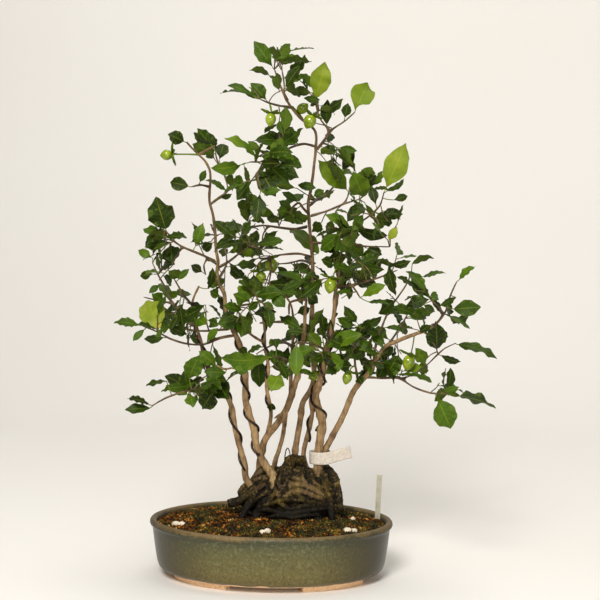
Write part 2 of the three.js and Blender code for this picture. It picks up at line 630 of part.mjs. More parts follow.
const LEAVES_UPPER_RIGHT = [
  [384, 190, 406, 143, 24], [384, 192, 405, 179, 5], [363, 197, 353, 172, 22], [379, 210, 371, 186, 10],
  [393, 200, 408, 196, 8], [378, 214, 403, 214, 12], [362, 202, 347, 222, 12], [360, 203, 355, 217, 12],
  [352, 226, 325, 215, 11], [353, 229, 388, 237, 12], [389, 240, 397, 227, 9],
  [388, 265, 411, 261, 8], [412, 264, 434, 257, 6], [388, 262, 396, 296, 9],
  [423, 277, 446, 273, 5], [457, 281, 475, 266, 6], [431, 299, 411, 278, 12],
  [364, 250, 382, 255, 12], [348, 246, 323, 252, 10], [349, 243, 363, 255, 14], [362, 266, 384, 270, 9],
  [360, 297, 386, 285, 11], [369, 302, 390, 304, 5], [391, 309, 407, 306, 5], [404, 307, 429, 299, 12],
  [404, 307, 426, 319, 10], [423, 304, 435, 312, 7], [431, 299, 442, 316, 6], [456, 297, 440, 306, 8],
  [454, 309, 481, 307, 17], [437, 349, 436, 322, 22], [458, 342, 497, 359, 9],
  [439, 356, 461, 362, 7],
];
const LEAVES_LOWER_RIGHT = [
  [385, 374, 398, 355, 19], [424, 363, 416, 348, 14], [397, 374, 432, 382, 8],
  [439, 391, 459, 387, 8], [434, 396, 451, 429, 24], [448, 394, 496, 407, 8], [360, 325, 344, 306, 10],
  [358, 326, 337, 318, 10], [327, 346, 362, 334, 15], [324, 350, 309, 334, 13], [321, 346, 292, 355, 11],
  [295, 342, 296, 376, 15], [325, 354, 304, 357, 9], [327, 349, 334, 364, 13], [272, 357, 221, 358, 19],
  [267, 351, 286, 359, 9], [276, 349, 275, 339, 13], [272, 366, 287, 366, 9], [282, 371, 271, 392, 18],
  [290, 316, 310, 308, 10], [303, 293, 318, 303, 12], [306, 283, 267, 284, 17], [252, 305, 234, 294, 16],
  [253, 271, 254, 291, 12], [270, 292, 285, 307, 14], [258, 302, 274, 309, 9], [260, 318, 271, 326, 7],
  [321, 323, 330, 330, 7], [356, 366, 340, 367, 13], [358, 359, 370, 363, 9],
  [358, 374, 362, 384, 10], [361, 325, 382, 317, 9], [361, 329, 379, 334, 9],
  [372, 336, 385, 344, 10], [360, 341, 372, 350, 10], [384, 327, 402, 329, 5], [272, 413, 272, 403, 9],
];
const LEAVES_LEFT = [
  [158, 273, 140, 276, 9], [177, 281, 189, 269, 7],
  [208, 289, 213, 268, 8], [221, 298, 210, 291, 10], [163, 281, 149, 293, 7],
  [167, 300, 152, 294, 12], [167, 288, 177, 297, 9], [159, 334, 148, 299, 27],
  [139, 325, 114, 322, 9], [145, 329, 133, 341, 7], [167, 336, 144, 339, 9], [166, 307, 164, 334, 10],
  [204, 306, 174, 321, 11], [206, 305, 186, 302, 6], [194, 316, 206, 324, 14], [188, 334, 174, 332, 7],
  [190, 335, 203, 343, 9], [204, 345, 218, 328, 8], [208, 317, 218, 326, 11], [248, 315, 217, 324, 16],
  [246, 317, 241, 337, 15], [218, 364, 199, 351, 14], [189, 378, 199, 355, 19], [167, 381, 146, 386, 5],
  [196, 382, 165, 387, 11], [226, 372, 204, 372, 12], [232, 368, 248, 372, 9], [218, 378, 228, 398, 20],
  [220, 384, 202, 409, 20], [189, 390, 193, 407, 14], [150, 408, 125, 410, 10], [153, 404, 127, 399, 5],
];
const LEAVES = [...LEAVES_CROWN, ...LEAVES_UPPER_LEFT, ...LEAVES_UPPER_RIGHT, ...LEAVES_LEFT,
  ...LEAVES_LOWER_RIGHT];

// Green fruits: centre, width and length as seen, and the limb or spray that carries each.
const FRUITS = [
  { at: [166, 155], size: [11, 12], stalk: [199, 155.5], tip: [-1, 0.1] },
  { at: [271.7, 266], size: [13, 15], stalk: [269, 254], tip: [0.2, 1] },
  { at: [261, 278], size: [11, 13], stalk: [258, 262], tip: [0.1, 1] },
  { at: [330.5, 286], size: [13, 16], stalk: [335, 262], tip: [-0.2, 1] },
  { at: [309.5, 122], size: [13, 15], stalk: [317, 113], tip: [-0.5, 1] },
  { at: [270.7, 120], size: [11, 14], stalk: [268, 106], tip: [-0.1, 1] },
  { at: [303, 108], size: [11, 13], stalk: [296, 112], tip: [0.7, -0.6] },
  { at: [408.4, 363], size: [12.5, 16.5], stalk: [417, 340], tip: [-0.3, 1] },
  { at: [347, 378.5], size: [10, 13], stalk: [353, 366], tip: [-0.3, 1] },
  { at: [314, 375.7], size: [10, 13], stalk: [322, 370], tip: [-1, 0.5] },
];

// A leaf blade: thin, arched along its rib, folded up from it, with waved edges. Its stations are
// diamonds of left edge, rib top, right edge and rib underside, split alike on both faces.
function bladeBody({ home, start, tip, side, width, wave, arch, swell = 0, withPetiole = true,
  shares = null, widths = null }) {
  const along = tip.clone().sub(start);
  const length = along.length();
  const across = side.clone().addScaledVector(along, -side.dot(along) / along.lengthSq()).normalize();
  const face = across.clone().cross(along).normalize();
  const halfway = along.clone().normalize().add(start.clone().sub(home).normalize()).normalize();
  const bentAcross = across.clone().addScaledVector(halfway, -across.dot(halfway)).normalize();
  const bend = [bentAcross, bentAcross.clone().cross(halfway).normalize()];
  const large = length > LARGE_LEAF;
  shares ??= large ? [0, 0.3, LEAF_BROADEST, 0.84] : [0, 0.38, 0.74];
  widths ??= large ? [0, 0.72, 1, 0.66] : [0, 0.86, 0.84];
  const rings = shares.map((share, i) => {
    const rib = start.clone().addScaledVector(along, share)
      .addScaledVector(face, arch * length * 4 * share * (1 - share));
    const half = Math.max(PETIOLE_WIDTH, widths[i] * width) / 2 + swell;
    const thick = (i === 0 ? PETIOLE_WIDTH : LEAF_RIB_THICKNESS * (1 - 0.25 * share)) / 2 + swell;
    const fold = i === 0 ? 0 : 0.2 * half;
    const lift = (n) => (i === 0 ? 0 : fold + 0.05 * width * Math.sin(wave + 2.4 * i + n));
    const [sideways, outward] = i === 0 && withPetiole ? bend : [across, face];
    return [
      rib.clone().addScaledVector(sideways, -half).addScaledVector(outward, lift(0)),
      rib.clone().addScaledVector(outward, thick),
      rib.clone().addScaledVector(sideways, half).addScaledVector(outward, lift(2)),
      rib.clone().addScaledVector(outward, -thick),
    ];
  });
  const end = tip.clone().addScaledVector(along, swell / length);
  const foot = withPetiole ? home : start.clone().addScaledVector(along, -swell / length);
  const points = [foot, ...rings.flat(), end];
  const last = points.length - 1;
  const triangles = [];
  const corner = (ring, i) => 1 + 4 * ring + (i % 4);
  for (let i = 0; i < 4; i++) {
    triangles.push([0, corner(0, i + 1), corner(0, i)]);
    triangles.push([last, corner(rings.length - 1, i), corner(rings.length - 1, i + 1)]);
  }
  for (let r = 0; r + 1 < rings.length; r++) {
    for (const edge of [0, 2]) {
      for (const rib of [1, 3]) {
        const [a, b] = [corner(r, edge), corner(r, rib)];
        const [c, d] = [corner(r + 1, edge), corner(r + 1, rib)];
        const turned = (edge === 0) === (rib === 1);
        triangles.push(turned ? [a, b, d] : [a, d, b], turned ? [a, d, c] : [a, c, d]);
      }
    }
  }
  return bodyOf(points, triangles);
}

// What already stands in the air, so that each new leaf can be bent clear of it.
const standing = [];

function boxOf(body) {
  const { min, max } = body.boundingBox();
  return new THREE.Box3(new THREE.Vector3(...min), new THREE.Vector3(...max));
}

function stand(body, owner, isStem = false) {
  standing.push({ body, owner, isStem, box: boxOf(body) });
}

function isClear(body) {
  const box = boxOf(body);
  return standing.every((other) => !box.intersectsBox(other.box) || body.intersect(other.body).isEmpty());
}

// The sample of some limbs that lies nearest to a view point.
function nearestSample(limbs, x, y) {
  let best = null;
  for (const one of limbs) {
    for (const sample of one.samples) {
      const distance = Math.hypot(sample.x - x, sample.y - y);
      if (!best || distance < best.distance) best = { ...sample, distance, owner: one.owner };
    }
  }
  return best;
}

function depthOf(point) {
  return point.dot(ahead);
}

// A later twig of a spray starts on an earlier one, the first on its trunk.
function growTwig(parents, twig, radii) {
  const [x, y] = twig.route[0];
  const foot = nearestSample(parents, x, y);
  return grow({ route: [[foot.x, foot.y], ...twig.route.slice(1)],
    depths: [depthOf(foot.point), twig.end], radii }, 4, 22);
}

// The trunks and the spurs that are one with them
const CLUMP = "trunk_clump";
const clumpLimbs = [
  ...Object.values(trunkLimbs),
  ...SPURS.map((spur) => growTwig([trunkLimbs[spur.on]], spur, [1.8, 1.1])),
];
for (const one of clumpLimbs) one.owner = CLUMP;

// Each wire starts at the first place round its trunk from which it runs clear of all the wood.
const woodBodies = [rootMass, ...clumpLimbs.map((one) => one.body)];
const wires = Object.entries(WIRES).map(([name, spec]) => {
  const phases = Array.from({ length: WIRE_PHASES }, (_, i) => i / WIRE_PHASES);
  const phase = phases.find((start) => {
    const clearance = makeWire(spec, start, SEAT_GAP / 3);
    return woodBodies.every((wood) => clearance.intersect(wood).isEmpty());
  });
  return { name, body: makeWire(spec, phase), clearance: makeWire(spec, phase, SEAT_GAP) };
});

const TWIG_FREE_FROM = 9;
const sprays = new Map();
for (const [name, spec] of Object.entries({ ...SPRAYS, ...BACK_SPRAYS })) {
  const twigs = [];
  for (const twig of spec.twigs) {
    const isFirst = twigs.length === 0;
    const made = growTwig(isFirst ? [trunkLimbs[spec.on]] : twigs, twig,
      isFirst ? [2.2, 1.5, TWIG_TIP_RADIUS] : [1.3, TWIG_TIP_RADIUS]);
    made.owner = name;
    if (isFirst) {
      const foot = made.middles[0];
      made.samples = made.samples.filter((sample) => sample.point.distanceTo(foot) > TWIG_FREE_FROM);
    }
    twigs.push(made);
  }
  const collars = [...clumpLimbs, ...wires].map((one) => one.clearance)
    .filter((collar) => twigs.some((twig) => boxOf(twig.body).intersectsBox(boxOf(collar))));
  const whole = joined(twigs.map((twig) => twig.body));
  const wood = largest(whole.subtract(joined(collars)));
  sprays.set(name, { spec, twigs, wood, leaves: [] });
}

const LEAF_TRIES = 16;

// The leaf of a table row, tried at its read place and then a little nearer, farther or more turned.
function leafPose([x0, y0, x1, y1, seenWidth], home, draw, stray) {
  const depth = depthOf(home.point);
  const perPoint = (depth + VIEW_DISTANCE) / VIEW_FOCAL;
  const swing = () => 2 * draw() - 1;
  const footDepth = depth + 0.3 * home.distance * perPoint * swing() + 2.2 * stray * swing();
  const flat = Math.hypot(x1 - x0, y1 - y0) * perPoint;
  const seenAcross = seenWidth * perPoint;
  const length = Math.max(flat * 1.03, seenAcross / 0.62, 11);
  const toFront = draw() < 0.7 ? -1 : 1;
  const run = toFront * Math.sqrt(length ** 2 - flat ** 2) + (0.08 + 0.05 * stray) * length * swing();
  let start = seen(x0, y0, footDepth);
  const tip = seen(x1, y1, footDepth + run);
  const outward = tip.clone().sub(home.point).normalize();
  const reach = home.radius + PETIOLE_LENGTH;
  if (start.distanceTo(home.point) < reach) start = home.point.clone().addScaledVector(outward, reach);
  const along = tip.clone().sub(start);
  const width = Math.max(seenAcross, LEAF_SHAPE * along.length() * 0.92);
  const inPlane = along.clone().cross(sight).normalize();
  const inDepth = inPlane.clone().cross(along).normalize();
  const roll = Math.acos(Math.min(1, seenAcross / width)) * (draw() < 0.5 ? -1 : 1) + 0.06 * stray * swing();
  return turnedOut({ home: home.point, start, tip, width,
    side: inPlane.multiplyScalar(Math.cos(roll)).addScaledVector(inDepth, Math.sin(roll)),
    wave: 6.3 * draw(), arch: 0.03 + 0.07 * draw() });
}

// A leaf that stands on the back of the tree, by rule.
function backLeafPose(home, tangent, draw, stray) {
  const swing = () => 2 * draw() - 1;
  const outward = new THREE.Vector3(swing(), swing(), 0.7 * swing()).addScaledVector(tangent, 0.5)
    .addScaledVector(ahead, 0.35).normalize();
  const start = home.point.clone().addScaledVector(outward, home.radius + PETIOLE_LENGTH);
  const length = 24 + 16 * draw() - 0.5 * stray;
  const tip = start.clone().addScaledVector(outward, length).addScaledVector(UP, -0.2 * length * draw());
  const along = tip.clone().sub(start);
  const level = along.clone().cross(UP).normalize();
  const steep = level.clone().cross(along).normalize();
  const roll = 0.9 * swing();
  return turnedOut({ home: home.point, start, tip, width: LEAF_SHAPE * along.length(),
    side: level.multiplyScalar(Math.cos(roll)).addScaledVector(steep, Math.sin(roll)),
    wave: 6.3 * draw(), arch: 0.03 + 0.07 * draw() });
}

// Turns a leaf's upper face to the light, up and to the front.
function turnedOut(leaf) {
  const face = leaf.side.clone().cross(leaf.tip.clone().sub(leaf.start));
  const light = UP.clone().multiplyScalar(0.7).sub(sight);
  if (face.dot(light) < 0) leaf.side.negate();
  return leaf;
}

// The first pose of a leaf that is clear of all that stands, or nothing.
function placeLeaf(owner, poseFor) {
  for (let stray = 0; stray < LEAF_TRIES; stray++) {
    const pose = poseFor(stray);
    const blade = bladeBody({ ...pose, swell: LEAF_CLEARANCE, withPetiole: false });
    const whole = bladeBody({ ...pose, swell: 0.12 });
    const box = boxOf(whole);
    const isFree = standing.every((other) => !box.intersectsBox(other.box)
      || (blade.intersect(other.body).isEmpty()
        && ((other.owner === owner && other.isStem) || whole.intersect(other.body).isEmpty())));
    if (!isFree) continue;
    const leaf = bladeBody(pose);
    stand(leaf, owner, true);
    stand(bladeBody({ ...pose, withPetiole: false }), owner);
    return leaf;
  }
  return null;
}

for (const one of clumpLimbs) stand(one.body, CLUMP, true);
stand(rootMass, CLUMP);
for (const wire of wires) stand(wire.body, wire.name);
for (const [name, spray] of sprays) stand(spray.wood, name, true);

// Fruits

// The outline of a fruit from its stalk end to its pointed tip, as shares of its half width and length.
const FRUIT_PROFILE = [[0, 0.02], [0.62, 0.07], [0.97, 0.33], [0.92, 0.6], [0.5, 0.86], [0, 1]];
const CALYX_LOBES = 4;
const CALYX_LENGTH = 15;
const CALYX_WIDTH = 4.6;
const STALK_RADIUS = 0.8;

// A fruit with its calyx and stalk, hung at a depth before or behind the stalk's foot.
function fruitBody({ at, size, tip }, home, nearer, order) {
  const depth = depthOf(home.point) - nearer;
  const perPoint = (depth + VIEW_DISTANCE) / VIEW_FOCAL;
  const middle = seen(at[0], at[1], depth);
  const axis = viewRight.clone().multiplyScalar(tip[0]).addScaledVector(viewUp, -tip[1]).normalize();
  const length = size[1] * perPoint;
  const half = (size[0] * perPoint) / 2;
  const top = middle.clone().addScaledVector(axis, -length / 2);
  const turn = new THREE.Quaternion().setFromUnitVectors(new THREE.Vector3(0, 1, 0), axis);
  const outline = FRUIT_PROFILE.map(([r, h]) => new THREE.Vector2(r * half, h * length));
  const berry = bodyOfGeometry(
    new THREE.LatheGeometry(outline, 7).applyQuaternion(turn).translate(top.x, top.y, top.z));
  const lobes = Array.from({ length: CALYX_LOBES }, (_, i) => {
    const angle = ((i + 0.35 + 0.2 * order) / CALYX_LOBES) * 2 * Math.PI;
    const outward = new THREE.Vector3(Math.cos(angle), 0, Math.sin(angle)).applyQuaternion(turn);
    const start = top.clone().addScaledVector(axis, 0.4).addScaledVector(outward, 0.5 * half);
    const end = start.clone().addScaledVector(outward, CALYX_LENGTH - 0.4 * half).addScaledVector(axis, -2.5);
    return bladeBody({ home: top.clone().addScaledVector(axis, 1.4), start, tip: end, width: CALYX_WIDTH,
      side: outward.clone().cross(axis), wave: order + i, arch: 0.05,
      shares: [0, 0.45], widths: [0, 1] });
  });
  const bend = home.point.clone().lerp(top, 0.6).addScaledVector(axis, -3);
  const inside = top.clone().addScaledVector(axis, 1.5);
  const stalk = limb([home.point, bend, inside], [STALK_RADIUS, STALK_RADIUS], 3, 12).body;
  return { core: joined([berry, ...lobes]), stalk };
}

const fruits = [];
const carriers = [...[...sprays.values()].flatMap((spray) => spray.twigs), ...clumpLimbs];
FRUITS.forEach((spec, order) => {
  const home = nearestSample(carriers, spec.stalk[0], spec.stalk[1]);
  const name = `fruit_${String(order + 1).padStart(2, "0")}`;
  const shifts = [5, 9, 0, 13, -6, 18, -12, 24, 30, -20];
  for (const nearer of shifts) {
    const { core, stalk } = fruitBody(spec, home, nearer, order);
    if (!isClear(core)) continue;
    const whole = joined([core, stalk]);
    const collars = [...carriers, ...wires].map((one) => one.clearance)
      .filter((collar) => boxOf(whole).intersectsBox(boxOf(collar)));
    const body = largest(collars.length ? whole.subtract(joined(collars)) : whole);
    fruits.push({ name, body });
    stand(body, name);
    return;
  }
});

// Leaves on the sprays, spurs and trunks

const clumpLeaves = [];
const TWIG_REACH = 26;
const TWIG_FAVOUR = 4;
const sprayTwigs = [...sprays.values()].filter((spray) => !spray.spec.leaves).flatMap((spray) => spray.twigs);
LEAVES.forEach((row, index) => {
  const onTwig = nearestSample(sprayTwigs, row[0], row[1]);
  const onTrunk = nearestSample(clumpLimbs, row[0], row[1]);
  const isOnTwig = onTwig.distance < TWIG_REACH && onTwig.distance < onTrunk.distance + TWIG_FAVOUR;
  const home = isOnTwig ? onTwig : onTrunk;
  const draw = seeded(1000 + index);
  const leaf = placeLeaf(home.owner, (stray) => leafPose(row, home, draw, stray));
  if (!leaf) return;
  if (home.owner === CLUMP) clumpLeaves.push(leaf);
  else sprays.get(home.owner).leaves.push(leaf);
});
Object.keys(BACK_SPRAYS).forEach((name, order) => {
  const spray = sprays.get(name);
  const twig = spray.twigs[0];
  for (let i = 0; i < spray.spec.leaves; i++) {
    const share = 0.22 + (0.75 * i) / (spray.spec.leaves - 1);
    const home = { point: placeOn(twig, share), radius: twig.radiusAt(share) };
    const tangent = twig.curve.getTangentAt(share);
    const draw = seeded(5000 + 50 * order + i);
    const leaf = placeLeaf(name, (stray) => backLeafPose(home, tangent, draw, stray));
    if (leaf) spray.leaves.push(leaf);
  }
});

// Things in the soil

// The place where a line of sight meets the soil, sunk or raised by a height.
function onSoil(x, y, raise = 0) {
  for (let depth = -POT_WIDTH / 2; depth < POT_WIDTH / 2; depth += 0.5) {
    const point = seen(x, y, depth);
    if (point.z <= soilHeight(point.x, point.y) + raise) return point;
  }
  return seen(x, y, POT_WIDTH / 2);
}

// White and yellowish pebbles: view point and width of each, in groups whose stones touch.
const PEBBLES = {
  pebbles_left: [[175.7, 524, 9], [182, 524.5, 8]],
  pebbles_front: [[262.2, 532, 6.5], [267.6, 531, 7.5]],
  pebbles_right: [[347, 530.5, 9.5], [354, 531, 8]],
  pebble_yellow: [[353, 519, 6]],
};
const PEBBLE_FLATNESS = 0.72;

function pebbleGroup(stones, extra = 0) {
  const depth = depthOf(onSoil(stones[0][0], stones[0][1], 1));
  return joined(stones.map(([x, y, width], order) => {
    const place = seen(x, y, depth);
    const half = (width * (depth + VIEW_DISTANCE)) / VIEW_FOCAL / 2 + extra;
    const stone = new THREE.SphereGeometry(1, 7, 4).rotateX(0.5 + order).rotateZ(width);
    stone.scale(half, half * 0.85, half * PEBBLE_FLATNESS).translate(place.x, place.y, place.z);
    return bodyOfGeometry(stone);
  }));
}

// The plastic label stake, pointed at its foot, leaning a little.
const STAKE = { top: [379.6, 475], foot: [377.5, 517], depth: 15, width: 6.6, thickness: 1, buried: 22,
  point: 9 };

function stakeBody(extra = 0) {
  const foot = seen(...STAKE.foot, STAKE.depth);
  const top = seen(...STAKE.top, STAKE.depth);
  const rise = top.clone().sub(foot);
  const reach = rise.length();
  const half = STAKE.width / 2 + extra;
  const tipHalf = 0.6 + extra;
  const outline = new THREE.Shape([
    new THREE.Vector2(-half, reach + extra), new THREE.Vector2(-half, -STAKE.buried + STAKE.point),
    new THREE.Vector2(-tipHalf, -STAKE.buried - extra), new THREE.Vector2(tipHalf, -STAKE.buried - extra),
    new THREE.Vector2(half, -STAKE.buried + STAKE.point), new THREE.Vector2(half, reach + extra),
  ]);
  const thickness = STAKE.thickness + 2 * extra;
  const upwards = rise.clone().normalize();
  const facing = levelRight.clone().cross(upwards).normalize();
  const sideways = upwards.clone().cross(facing);
  const plate = new THREE.ExtrudeGeometry(outline, { depth: thickness, bevelEnabled: false })
    .translate(0, 0, -thickness / 2)
    .applyMatrix4(new THREE.Matrix4().makeBasis(sideways, upwards, facing))
    .translate(foot.x, foot.y, foot.z);
  return bodyOfGeometry(plate);
}

// The blank paper tag: a band round the foot of two trunks, with its end standing out to the right.
const TAG = { band: [320, 457], depth: 1, halfAlong: 13, halfAcross: 12.5, height: 15, thickness: 0.7,
  end: [351, 452], nearer: 8 };

function makeTag() {
  const middle = seen(...TAG.band, TAG.depth);
  const flagEnd = seen(...TAG.end, TAG.depth - TAG.nearer);
  const path = [];
  const sides = 8;
  for (let i = 0; i <= sides; i++) {
    const angle = THREE.MathUtils.lerp(-60, 275, i / sides) * (Math.PI / 180);
    path.push(new THREE.Vector3(middle.x + TAG.halfAlong * Math.cos(angle),
      middle.y + TAG.halfAcross * Math.sin(angle), middle.z));
  }
  const leave = path[path.length - 1];
  const around = new THREE.Vector3(leave.x + 9, leave.y - 1.2, leave.z + 1);
  path.push(around, around.clone().lerp(flagEnd, 0.5).add(new THREE.Vector3(0, -1, 0.5)), flagEnd);
  const rings = path.map((point, i) => {
    const tangent = path[Math.min(i + 1, path.length - 1)].clone().sub(path[Math.max(i - 1, 0)]).normalize();
    const outward = tangent.clone().cross(UP).normalize().multiplyScalar(TAG.thickness / 2);
    const rise = outward.clone().cross(tangent).normalize();
    if (rise.z < 0) rise.negate();
    rise.multiplyScalar(TAG.height / 2);
    return [point.clone().sub(outward).sub(rise), point.clone().add(outward).sub(rise),
      point.clone().add(outward).add(rise), point.clone().sub(outward).add(rise)];
  });
  return lofted(rings);
}

// A bent wire pin that stands in the moss on top of the root mass.
const PIN = {
  route: [[284.6, 461], [285, 456], [286.2, 450], [287.6, 448], [289, 450], [290, 454], [290.6, 461]],
  depth: 2,
  radius: 0.7,
};

function makePin() {
  const points = PIN.route.map(([x, y]) => seen(x, y, PIN.depth));
  return largest(limb(points, [PIN.radius, PIN.radius], 4, 5).body.subtract(rootHole));
}

// Pieces

const soilHoles = [
  rootHole,
  stakeBody(SEAT_GAP),
  ...Object.values(PEBBLES).map((stones) => pebbleGroup(stones, SEAT_GAP)),
];
addPiece("pot", makePot(), 0x6f6945, 0.35);
addPiece("soil", makeSoil().subtract(joined(soilHoles)), 0x432b10, 0.95);
addPiece("drain_mesh_left", makeDrainMesh(-DRAIN_SPACING / 2), 0x1f2320, 0.6);
addPiece("drain_mesh_right", makeDrainMesh(DRAIN_SPACING / 2), 0x1f2320, 0.6);
for (const [name, stones] of Object.entries(PEBBLES)) addPiece(name, pebbleGroup(stones), 0xe0d8c8, 0.7);
addPiece("label_stake", stakeBody(), 0xbdb5a0, 0.4);
addPiece("paper_tag", makeTag(), 0xf6ead9, 0.8);
addPiece("wire_pin", makePin(), 0x433427, 0.4, 0.6);
const clumpWood = joined([rootMass, ...clumpLimbs.map((one) => one.body)]);
addPiece(CLUMP, largest(joined([clumpWood, ...clumpLeaves])), 0x9e7d58, 0.9);
for (const wire of wires) addPiece(wire.name, wire.body, 0x433427, 0.4, 0.6);
for (const fruit of fruits) addPiece(fruit.name, fruit.body, 0x9ea927, 0.25);
for (const [name, spray] of sprays) {
  addPiece(name, largest(joined([spray.wood, ...spray.leaves])), 0x406215, 0.6);
}

// The origin lies on the floor under the middle of the whole bonsai.
const bounds = new THREE.Box3().setFromObject(bonsai);
const middleOfAll = bounds.getCenter(new THREE.Vector3());
bonsai.position.set(-middleOfAll.x, -middleOfAll.y, -bounds.min.z);

export default bonsai;
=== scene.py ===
import math
import random
from collections import namedtuple
from itertools import accumulate

import bmesh
import bpy
import numpy as np
from mathutils import Matrix, Vector, kdtree, noise


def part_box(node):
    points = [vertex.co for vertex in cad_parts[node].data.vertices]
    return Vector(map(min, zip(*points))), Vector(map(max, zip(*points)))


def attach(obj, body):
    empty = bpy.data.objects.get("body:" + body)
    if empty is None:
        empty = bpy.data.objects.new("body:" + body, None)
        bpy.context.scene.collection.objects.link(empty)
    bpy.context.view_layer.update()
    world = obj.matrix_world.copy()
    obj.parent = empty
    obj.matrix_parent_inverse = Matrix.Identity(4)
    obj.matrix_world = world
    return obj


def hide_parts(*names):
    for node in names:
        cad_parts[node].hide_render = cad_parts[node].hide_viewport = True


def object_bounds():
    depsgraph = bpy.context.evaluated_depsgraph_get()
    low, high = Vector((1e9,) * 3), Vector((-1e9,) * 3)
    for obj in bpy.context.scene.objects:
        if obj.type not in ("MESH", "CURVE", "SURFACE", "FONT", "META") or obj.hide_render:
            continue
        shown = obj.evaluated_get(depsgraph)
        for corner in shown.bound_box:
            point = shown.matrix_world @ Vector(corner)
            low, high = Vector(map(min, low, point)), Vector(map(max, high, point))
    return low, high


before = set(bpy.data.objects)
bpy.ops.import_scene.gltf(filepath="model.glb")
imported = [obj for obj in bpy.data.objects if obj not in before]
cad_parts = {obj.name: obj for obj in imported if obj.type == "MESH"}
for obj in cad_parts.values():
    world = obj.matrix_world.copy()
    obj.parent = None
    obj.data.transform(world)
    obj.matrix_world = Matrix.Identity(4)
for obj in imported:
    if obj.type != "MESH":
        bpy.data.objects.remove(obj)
solids_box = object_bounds()

MM = 0.001
FULL_TURN = 2 * math.pi

# Driving dimensions of the pot and its filling
POT_LENGTH = 300 * MM
POT_WIDTH = 224 * MM
POT_HEIGHT = 71 * MM
FOOT_HEIGHT = 7 * MM
FOOT_RING_INSET = 26 * MM
FOOT_RING_WIDTH = 13 * MM
FOOT_ANGLES = (22, 70)
SOIL_EDGE = 65 * MM
SOIL_MIDDLE = 76 * MM

# The pot's middle, which every other place is measured from
pot_low, pot_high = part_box("pot")
POT_MIDDLE = Vector(((pot_low.x + pot_high.x) / 2, (pot_low.y + pot_high.y) / 2, 0))

# Line of sight: routes are points of a 600 x 600 view of the bonsai from the front, and a depth in
# millimetres behind the pot's middle gives each its place in space.
VIEW_MIDDLE = 300
VIEW_FOCAL = 1450
VIEW_DISTANCE = 1770
VIEW_RIGHT = 33.4
VIEW_HEIGHT = 457
VIEW_TURN = math.radians(4.5)
VIEW_PITCH = math.radians(3.75)
VIEW_ROLL = math.radians(0.5)

UP = Vector((0, 0, 1))
AHEAD = Vector((-math.sin(VIEW_TURN), math.cos(VIEW_TURN), 0))
LEVEL_RIGHT = Vector((math.cos(VIEW_TURN), math.sin(VIEW_TURN), 0))
SIGHT = AHEAD * math.cos(VIEW_PITCH) - UP * math.sin(VIEW_PITCH)
LEVEL_UP = LEVEL_RIGHT.cross(SIGHT)
VIEW_ACROSS = LEVEL_RIGHT * math.cos(VIEW_ROLL) + LEVEL_UP * math.sin(VIEW_ROLL)
VIEW_UP = LEVEL_UP * math.cos(VIEW_ROLL) - LEVEL_RIGHT * math.sin(VIEW_ROLL)
EYE = AHEAD * -VIEW_DISTANCE + LEVEL_RIGHT * VIEW_RIGHT + UP * VIEW_HEIGHT


def seen(x, y, depth):
    """The place in space, in metres, of a view point at a depth in millimetres."""
    ray = SIGHT + VIEW_ACROSS * ((x - VIEW_MIDDLE) / VIEW_FOCAL) + VIEW_UP * ((VIEW_MIDDLE - y) / VIEW_FOCAL)
    place = EYE + ray * ((depth + VIEW_DISTANCE) / ray.dot(AHEAD))
    return place * MM + POT_MIDDLE


def viewed(place):
    """The view point (x, y) of a place in space."""
    offset = (place - POT_MIDDLE) / MM - EYE
    scale = VIEW_FOCAL / offset.dot(SIGHT)
    return VIEW_MIDDLE + offset.dot(VIEW_ACROSS) * scale, VIEW_MIDDLE - offset.dot(VIEW_UP) * scale


# Materials


def linear(colour):
    """An sRGB hex colour as linear red, green, blue and alpha."""
    shares = [int(colour[i:i + 2], 16) / 255 for i in (1, 3, 5)]
    return [s / 12.92 if s <= 0.04045 else ((s + 0.055) / 1.055) ** 2.4 for s in shares] + [1]


def add(tree, kind, inputs=None, **settings):
    """A new node with its settings, and with a value or a link for each named input."""
    node = tree.nodes.new(kind)
    for name, value in settings.items():
        setattr(node, name, value)
    for key, value in (inputs or {}).items():
        if isinstance(value, bpy.types.NodeSocket):
            tree.links.new(value, node.inputs[key])
        else:
            node.inputs[key].default_value = value
    return node


def graded(tree, factor, *stops):
    """A colour that follows a factor through (place, hex colour) stops."""
    node = add(tree, "ShaderNodeValToRGB", {0: factor})
    elements = node.color_ramp.elements
    while len(elements) < len(stops):
        elements.new(1)
    for element, (place, colour) in zip(elements, stops):
        element.position = place
        element.color = linear(colour)
    return node.outputs["Color"]


def mixed(tree, factor, one, other):
    """Two colours mixed by a factor; each is a link or a hex colour."""
    node = add(tree, "ShaderNodeMix", {0: factor}, data_type="RGBA")
    for socket, colour in ((node.inputs[6], one), (node.inputs[7], other)):
        if isinstance(colour, str):
            socket.default_value = linear(colour)
        else:
            tree.links.new(colour, socket)
    return node.outputs[2]


def spread(tree, value, low, high, to_low=0.0, to_high=1.0):
    """A number moved from one range to another, and kept inside it."""
    node = add(tree, "ShaderNodeMapRange", {0: value, 1: low, 2: high, 3: to_low, 4: to_high})
    return node.outputs[0]


def tinted(tree, base, colour, pattern, low, high, most):
    """A colour laid over a base where a pattern goes from low to high, at most by a share."""
    return mixed(tree, spread(tree, pattern, low, high, 0, most), base, colour)


def new_surface(name, **values):
    """A new material with a Principled BSDF: it, its tree, its shader and its Object coordinates."""
    material = bpy.data.materials.new(name)
    material.use_nodes = True
    tree = material.node_tree
    tree.nodes.clear()
    shader = add(tree, "ShaderNodeBsdfPrincipled", values)
    add(tree, "ShaderNodeOutputMaterial", {"Surface": shader.outputs[0]})
    coordinates = add(tree, "ShaderNodeTexCoord")
    return material, tree, shader, coordinates.outputs["Object"]


